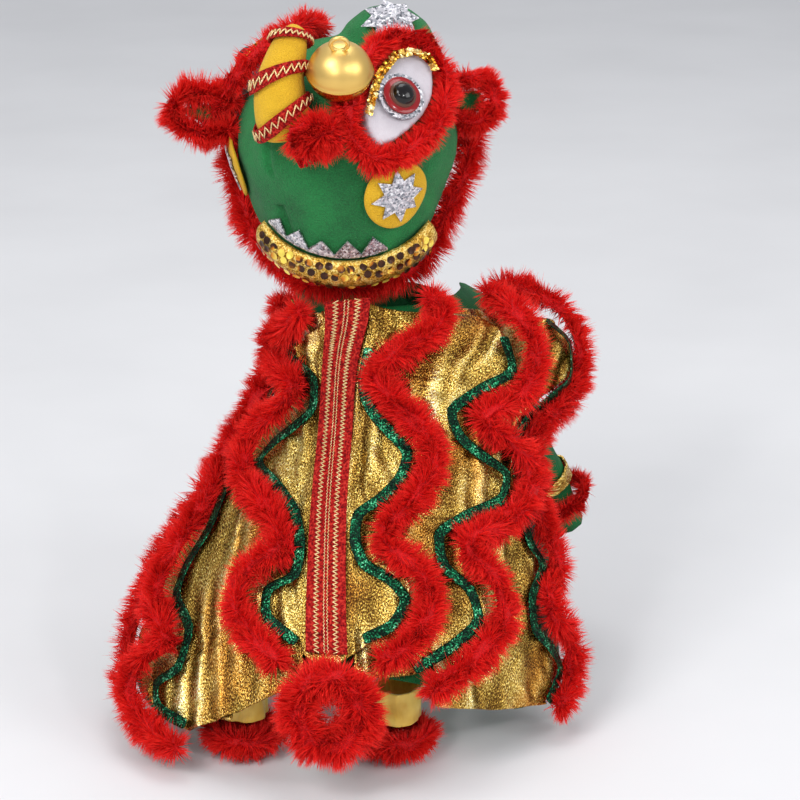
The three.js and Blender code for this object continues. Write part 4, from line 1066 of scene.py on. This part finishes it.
# %% Eye pieces
HOOD_RADIUS = 60 * MM
EYES = {
    # azimuth and elevation (degrees), 1 or -1 for the way that its outline is drawn
    "right": (29.0, 34.0, 1),
    "left": (-112.0, 38.0, -1),
}
EYE_STAND = 9 * MM
LEAF_THICK = 1.7 * MM
TRIM = np.array([(-22, -7), (-16, 4), (-11, 12), (-3, 19), (5, 25), (17, 27), (27, 23), (28, 15)]) * 0.9 * MM
TRIM_CORD = {"radius": 1.0 * MM, "dip": 6.0, "steps": 44}
TRIM_DISC = {"radius": 1.1 * MM, "apart": 1.3 * MM, "lift": 1.0 * MM, "tilt": 0.45, "sides": 8}
BALL_SIDES = 40
BALL = np.array([
    # distance from the axis, height (mm)
    (0, 0), (9.7, 0), (10, 0.3), (9.9, 0.8), (9.4, 1.0), (7.2, 1.1), (7.0, 1.5), (7.0, 2.2), (6.7, 2.5),
    (5.9, 2.5), (5.6, 3.0), (5.2, 4.0), (4.4, 5.0), (3.2, 5.6), (1.7, 5.95), (0.02, 6.05),
]) * MM


def eye_frame(azimuth, elevation, flip):
    """Middle of the eye, and its right, up and out directions."""
    out = by_compass(azimuth, elevation)
    right = np.array([np.cos(np.radians(azimuth)), np.sin(np.radians(azimuth)), 0.0])
    return HUB + out * (HOOD_RADIUS + EYE_STAND), right * flip, np.cross(out, right), out


def eye_leaf_and_ball(side):
    """The satin leaf of an eye, and its ball: the profile turned about the way out."""
    middle, _, up, out = eye_frame(*EYES[side])
    node = "eye_white_" + side
    leaf = put(node + "_satin", *netted(node, 1.1 * MM, 8), WHITE, "white_satin", nodes=[node])
    turn = np.linspace(0, 2 * np.pi, BALL_SIDES, endpoint=False)
    ring = np.cos(turn)[:, None] * np.cross(up, out) + np.sin(turn)[:, None] * up
    points = middle + BALL[:, None, :1] * ring[None] + (BALL[:, 1] + LEAF_THICK)[:, None, None] * out
    zone = np.repeat(BALL[:, 0] / BALL[:, 0].max(), BALL_SIDES)
    faces = grid_faces(len(BALL), BALL_SIDES, wrap=True)
    put("eye_ball_" + side + "_gloss", points.reshape(-1, 3), faces, EYE_GLOSS, "eye_plastic",
        nodes=["eye_ball_" + side], floats={"zone": zone})


def eye_edge(side):
    """The cord along the upper edge of a leaf, which dips with its curve, and three rows of sequins."""
    middle, right, up, out = eye_frame(*EYES[side])
    step = np.concatenate([[0], np.cumsum(np.linalg.norm(np.diff(TRIM, axis=0), axis=1))])
    s = np.linspace(0, step[-1], TRIM_CORD["steps"])
    x, y = np.interp(s, step, TRIM[:, 0]), np.interp(s, step, TRIM[:, 1])
    dip = TRIM_CORD["dip"] * (x * x + y * y)
    path = middle + x[:, None] * right + y[:, None] * up + (LEAF_THICK - dip)[:, None] * out
    cord = tube(path, TRIM_CORD["radius"], 6)
    put("eye_trim_" + side + "_cord", *cord, SEQUIN, "gold_sequin", nodes=["eye_trim_" + side])
    beside = unit(np.cross(np.gradient(path, axis=0), out)) * TRIM_DISC["apart"]
    rows = np.concatenate([path - beside, path, path + beside]) + out * TRIM_DISC["lift"]
    ways = np.repeat(out[None], len(rows), axis=0)
    discs = sequins(rows, ways, TRIM_DISC["radius"], TRIM_DISC["tilt"], 81, TRIM_DISC["sides"])
    put("eye_sequins_" + side, *discs, SEQUIN, "gold_sequin", smooth=False)


for side in EYES:
    eye_leaf_and_ball(side)
    eye_edge(side)
print("eye ball height:", round(float(BALL[:, 1].max()) / MM, 2), "mm")

# %% [markdown]
# ## Cheeks, teeth and stars
# The cheeks are discs of yellow felt, and on them and on the crown sit stars cut from glitter cloth. The
# stars and the teeth already have the right outline as solids, so they only take the glitter finish.

# %% Felt discs and glitter
CHEEKS = {"right": (26.0, -10.0), "left": (-82.0, -6.0)}
CHEEK = {"radius": 18 * MM, "low": 1.2 * MM, "thick": 2.0 * MM, "around": 48}
JAW = {"drop": 8 * MM, "pinch": 7 * MM}


def on_hood(azimuth, elevation, x, y, lift):
    """A flat place x, y wrapped onto the hood around a direction, and lifted off it.

    Below, the hood is drawn out by the jaw's drop, and its sides are pinched in.
    """
    out = by_compass(azimuth, elevation)
    right = np.array([np.cos(np.radians(azimuth)), np.sin(np.radians(azimuth)), 0.0])
    way = unit(out * HOOD_RADIUS + x[..., None] * right + y[..., None] * np.cross(out, right))
    fall = np.clip((-way[..., 2] - 0.25) / 0.6, 0, 1)
    low = np.clip((0.1 - way[..., 2]) / 0.5, 0, 1)
    drop = JAW["drop"] * fall * fall * (3 - 2 * fall)
    reach = HOOD_RADIUS + drop - JAW["pinch"] * low * way[..., 0] ** 2
    return HUB + way * (reach + lift)[..., None]


def cheek(side):
    """A felt disc: a thin rounded profile turned round, from the middle of its back to that of its face."""
    reach = np.array([0.001, 0.5, 0.9, 0.985, 1.0, 0.985, 0.9, 0.5, 0.001]) * CHEEK["radius"]
    lift = CHEEK["low"] + np.array([0, 0, 0, 0.2, 0.5, 0.8, 1.0, 1.0, 1.0]) * CHEEK["thick"]
    turn = np.linspace(0, 2 * np.pi, CHEEK["around"], endpoint=False)
    x, y = reach[:, None] * np.cos(turn), reach[:, None] * np.sin(turn)
    points = on_hood(*CHEEKS[side], x, y, np.broadcast_to(lift[:, None], x.shape))
    faces = grid_faces(len(reach), CHEEK["around"], wrap=True)
    node = "cheek_disc_" + side
    disc = put(node + "_felt", points.reshape(-1, 3), faces, FELT, "yellow_felt", nodes=[node])


GLITTER = [
    "crown_star", "cheek_star_right", "cheek_star_left", "teeth_strip", "eye_ring_right", "eye_ring_left"
]
for side in CHEEKS:
    cheek(side)
for node in GLITTER:
    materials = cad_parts[node].data.materials
    materials.clear()
    materials.append(SILVER)
print("cheek diameter:", 2 * CHEEK["radius"])

# %% [markdown]
# ## Braids on the horn
# Three bands of the same red braid wrap the horn, each with a gold zigzag. The horn is a short table of
# middles and radii, so a band's thread can be carried round it at any height.

# %% Horn bands
HORN = np.array([
    # x, y, z from the hub, radius (mm)
    (-29, -53, 20, 13.5),
    (-31.5, -54, 33, 14.5),
    (-32, -53, 45, 13),
    (-29.5, -49, 56, 11),
    (-26, -44, 65.5, 9.2),
    (-23.5, -40, 71, 6),
]) * MM
BANDS = {
    # place from base to tip, slant to either side of it
    1: (0.17, 0.13),
    2: (0.5, 0.12),
    3: (0.84, 0.06),
}
BAND_THREAD = {"strokes": 24, "swing": 0.034, "lift": 2.3 * MM, "radius": 0.45 * MM, "from_hub": 62 * MM}


def horn_ring(t, turn, lift):
    """Points round the horn at t from base to tip: the middle plus radius and lift along the way out."""
    rows = np.linspace(0, 1, len(HORN))
    middle = np.stack([np.interp(t, rows, HORN[:, k]) for k in range(3)], axis=-1) + HUB
    radius = np.interp(t, rows, HORN[:, 3])
    axis = unit(np.stack([np.interp(t, rows, np.gradient(HORN[:, k])) for k in range(3)], axis=-1))
    a = unit(np.array([0.0, 1.0, 0.0]) - axis * axis[..., 1:2])
    b = np.cross(axis, a)
    return middle + (radius + lift)[..., None] * (np.cos(turn)[..., None] * a + np.sin(turn)[..., None] * b)


def horn_band(number):
    """One band, eased from its solid, and the part of its zigzag thread that is outside the hood."""
    node = "horn_braid_" + str(number)
    points, tris = halve(*cad_form(node), times=2)
    put(node + "_weave", relax(points, tris, 2), tris, BRAID, "red_braid", nodes=[node])
    t, wave = zigzag(BAND_THREAD["strokes"])
    at, slant = BANDS[number]
    turn = 2 * np.pi * t
    height = at - slant * np.sin(turn) + BAND_THREAD["swing"] * wave
    path = horn_ring(height, turn, np.full(len(t), BAND_THREAD["lift"]))
    outside = np.linalg.norm(path - HUB, axis=1) > BAND_THREAD["from_hub"]
    place = np.arange(len(t))
    edge = np.flatnonzero(np.diff(outside.astype(int)))
    keep = outside if len(edge) < 2 else (place > edge[0]) & (place <= edge[-1])
    if outside[0]:
        order = np.roll(place[:-1], -(edge[-1] + 1)) if len(edge) else place[:-1]
        path, keep = path[order], outside[order]
    put(node + "_zigzag", *tube(path[keep], BAND_THREAD["radius"]), THREAD, "gold_lame")


for number in BANDS:
    horn_band(number)
print("horn bands:", len(BANDS))

# %% [markdown]
# ## The bell
# A jingle bell is two pressed cups with a rolled rim where they meet, a slot below and a wire loop on top.
# It is a profile turned about the bell's axis. The slot is pressed in across the lower cup.

# %% Bell
def bell_brass():
    finish = Finish("bell_brass")
    height = finish.attribute("height")
    smudge = finish.noise(finish.place(), 160.0, 4.0)
    colour = finish.ramp(
        height,
        (0.0, (0.44, 0.18, 0.015)),
        (0.48, (0.70, 0.36, 0.045)),
        (0.53, (0.78, 0.50, 0.13)),
        (1.0, (0.84, 0.58, 0.19)),
    )
    satin = finish.ramp(height, (0.49, (0.0, 0.0, 0.0)), (0.54, (1.0, 1.0, 1.0)))
    dull = 0.12 + 0.1 * smudge + 0.22 * satin
    return finish.surface(bump=smudge, depth=0.0001, Base_Color=colour, Metallic=0.95, Roughness=dull)


BRASS = bell_brass()
BELL = {"middle": HUB + np.array([-2.0, -57.0, 53.0]) * MM, "radius": 16 * MM, "tall": 0.92, "tilt": 33.0}
BELL_NET = {"rows": 61, "around": 72}
BELL_SLOT = {"half": 1.2 * MM, "reach": 10 * MM, "press": 0.82}
BELL_LOOP = {"radius": 4.2 * MM, "wire": 1.1 * MM, "lift": 3.4 * MM, "steps": 33, "sides": 10}


def bell():
    """Body with radius cos(a) and height sin(a), a rolled rim at its middle and a slot below; and a loop."""
    rows, around = BELL_NET["rows"], BELL_NET["around"]
    top = BELL["radius"] * BELL["tall"]
    a = np.linspace(-np.pi / 2, np.pi / 2, rows)[:, None]
    turn = np.linspace(0, 2 * np.pi, around, endpoint=False)[None]
    rim = 1 + 0.06 * np.exp(-((np.sin(a) / 0.045) ** 2))
    reach = BELL["radius"] * rim * np.maximum(np.cos(a), 1e-4)
    z = np.broadcast_to(top * np.sin(a), (rows, around))
    x, y = reach * np.cos(turn), reach * np.sin(turn)
    slot = (np.abs(y) < BELL_SLOT["half"]) & (np.abs(x) < BELL_SLOT["reach"]) & (z < 0)
    local = np.stack([x, y, z], axis=-1) * np.where(slot, BELL_SLOT["press"], 1.0)[..., None]
    bend = np.linspace(0, 2 * np.pi, BELL_LOOP["steps"])
    ring = np.stack([np.cos(bend), np.zeros(len(bend)), np.sin(bend)], axis=1) * BELL_LOOP["radius"]
    loop = tube(ring + np.array([0, 0, top + BELL_LOOP["lift"]]), BELL_LOOP["wire"], BELL_LOOP["sides"])
    points, faces = joined([(local.reshape(-1, 3), grid_faces(rows, around, wrap=True)), loop])
    tilt = np.radians(BELL["tilt"])
    spin = np.array([[1, 0, 0], [0, np.cos(tilt), -np.sin(tilt)], [0, np.sin(tilt), np.cos(tilt)]])
    height = np.clip(points[:, 2] / (2 * top) + 0.5, 0, 1)
    put("bell_brass_body", points @ spin.T + BELL["middle"], faces, BRASS, "bell_brass", nodes=["bell"],
        floats={"height": height})


bell()
print("bell diameter:", 2 * BELL["radius"])

# %% [markdown]
# ## Studio
# A pale floor at the level where the hem and the cuffs stand, a large soft light from the upper left, a
# weaker one from the right, one from above and two small ones for sparkle, and a long lens at the angle of
# the photograph.

# %% Floor, light and camera
FLOOR = {"height": -206 * MM, "half": 8.0}
LIGHTS = [
    # name, place, target, size (m), power (W)
    ("key", (-1.0, -1.3, 1.5), (0, -0.05, 0), 0.8, 19),
    ("fill", (1.5, -0.9, 0.8), (0, -0.05, 0), 0.8, 9),
    ("top", (0.1, 0.5, 1.9), (0, -0.05, 0), 1.2, 14),
    ("sparkle_left", (-0.5, -1.5, 0.7), (0, -0.05, -0.05), 0.15, 4),
    ("sparkle_right", (0.8, -1.4, 0.9), (0, -0.05, -0.05), 0.15, 4),
]
SKY = {"colour": (0.93, 0.95, 1.0, 1.0), "strength": 0.58}
CAMERA = {"place": (0.0146, -1.2812, 0.3740), "tip": 71.0, "lens": 112.5, "sensor": 36.0, "nearest": 0.05}


def floor():
    """A wide flat square below the costume."""
    finish = Finish("studio_floor")
    grain = finish.noise(finish.place(), 6.0)
    colour = finish.ramp(grain, (0.3, (0.72, 0.72, 0.73)), (0.7, (0.76, 0.76, 0.77)))
    half = FLOOR["half"]
    mesh = bpy.data.meshes.new("floor")
    corners = [(-half, -half), (half, -half), (half, half), (-half, half)]
    mesh.from_pydata([(x, y, FLOOR["height"]) for x, y in corners], [], [(0, 1, 2, 3)])
    mesh.materials.append(finish.surface(Base_Color=colour, Roughness=0.6))
    ground = bpy.data.objects.new("floor", mesh)
    bpy.context.scene.collection.objects.link(ground)


def soft_light(name, place, target, size, power):
    """A square lamp at a place, turned to face a target."""
    lamp = bpy.data.lights.new(name, "AREA")
    lamp.size = size
    lamp.energy = power
    holder = bpy.data.objects.new(name, lamp)
    holder.location = place
    way = np.array(target) - np.array(place)
    holder.rotation_euler = (np.arccos(-way[2] / np.linalg.norm(way)), 0, np.arctan2(way[0], -way[1]) + np.pi)
    bpy.context.scene.collection.objects.link(holder)


def studio():
    """Lights, sky and camera."""
    for light in LIGHTS:
        soft_light(*light)
    world = bpy.data.worlds.new("studio")
    world.use_nodes = True
    sky = world.node_tree.nodes["Background"].inputs
    sky["Color"].default_value = SKY["colour"]
    sky["Strength"].default_value = SKY["strength"]
    bpy.context.scene.world = world
    bpy.context.scene.view_settings.view_transform = "Standard"
    lens = bpy.data.cameras.new("camera")
    lens.sensor_width = CAMERA["sensor"]
    lens.lens = CAMERA["lens"]
    lens.clip_start = CAMERA["nearest"]
    camera = bpy.data.objects.new("camera", lens)
    camera.location = CAMERA["place"]
    camera.rotation_euler = (np.radians(CAMERA["tip"]), 0.0, 0.0)
    bpy.context.scene.collection.objects.link(camera)
    bpy.context.scene.camera = camera


floor()
studio()
print("camera and lights ready")

# %% [markdown]
# ## Size
# The dressed costume has to stay in the box of the solids, but for a little that fur and cloth may stand
# proud. The triangles that the dressing adds are counted here.

# %% Count the added triangles
print("triangles added:", sum(ADDED.values()), "most in one piece:", max(ADDED.values()))
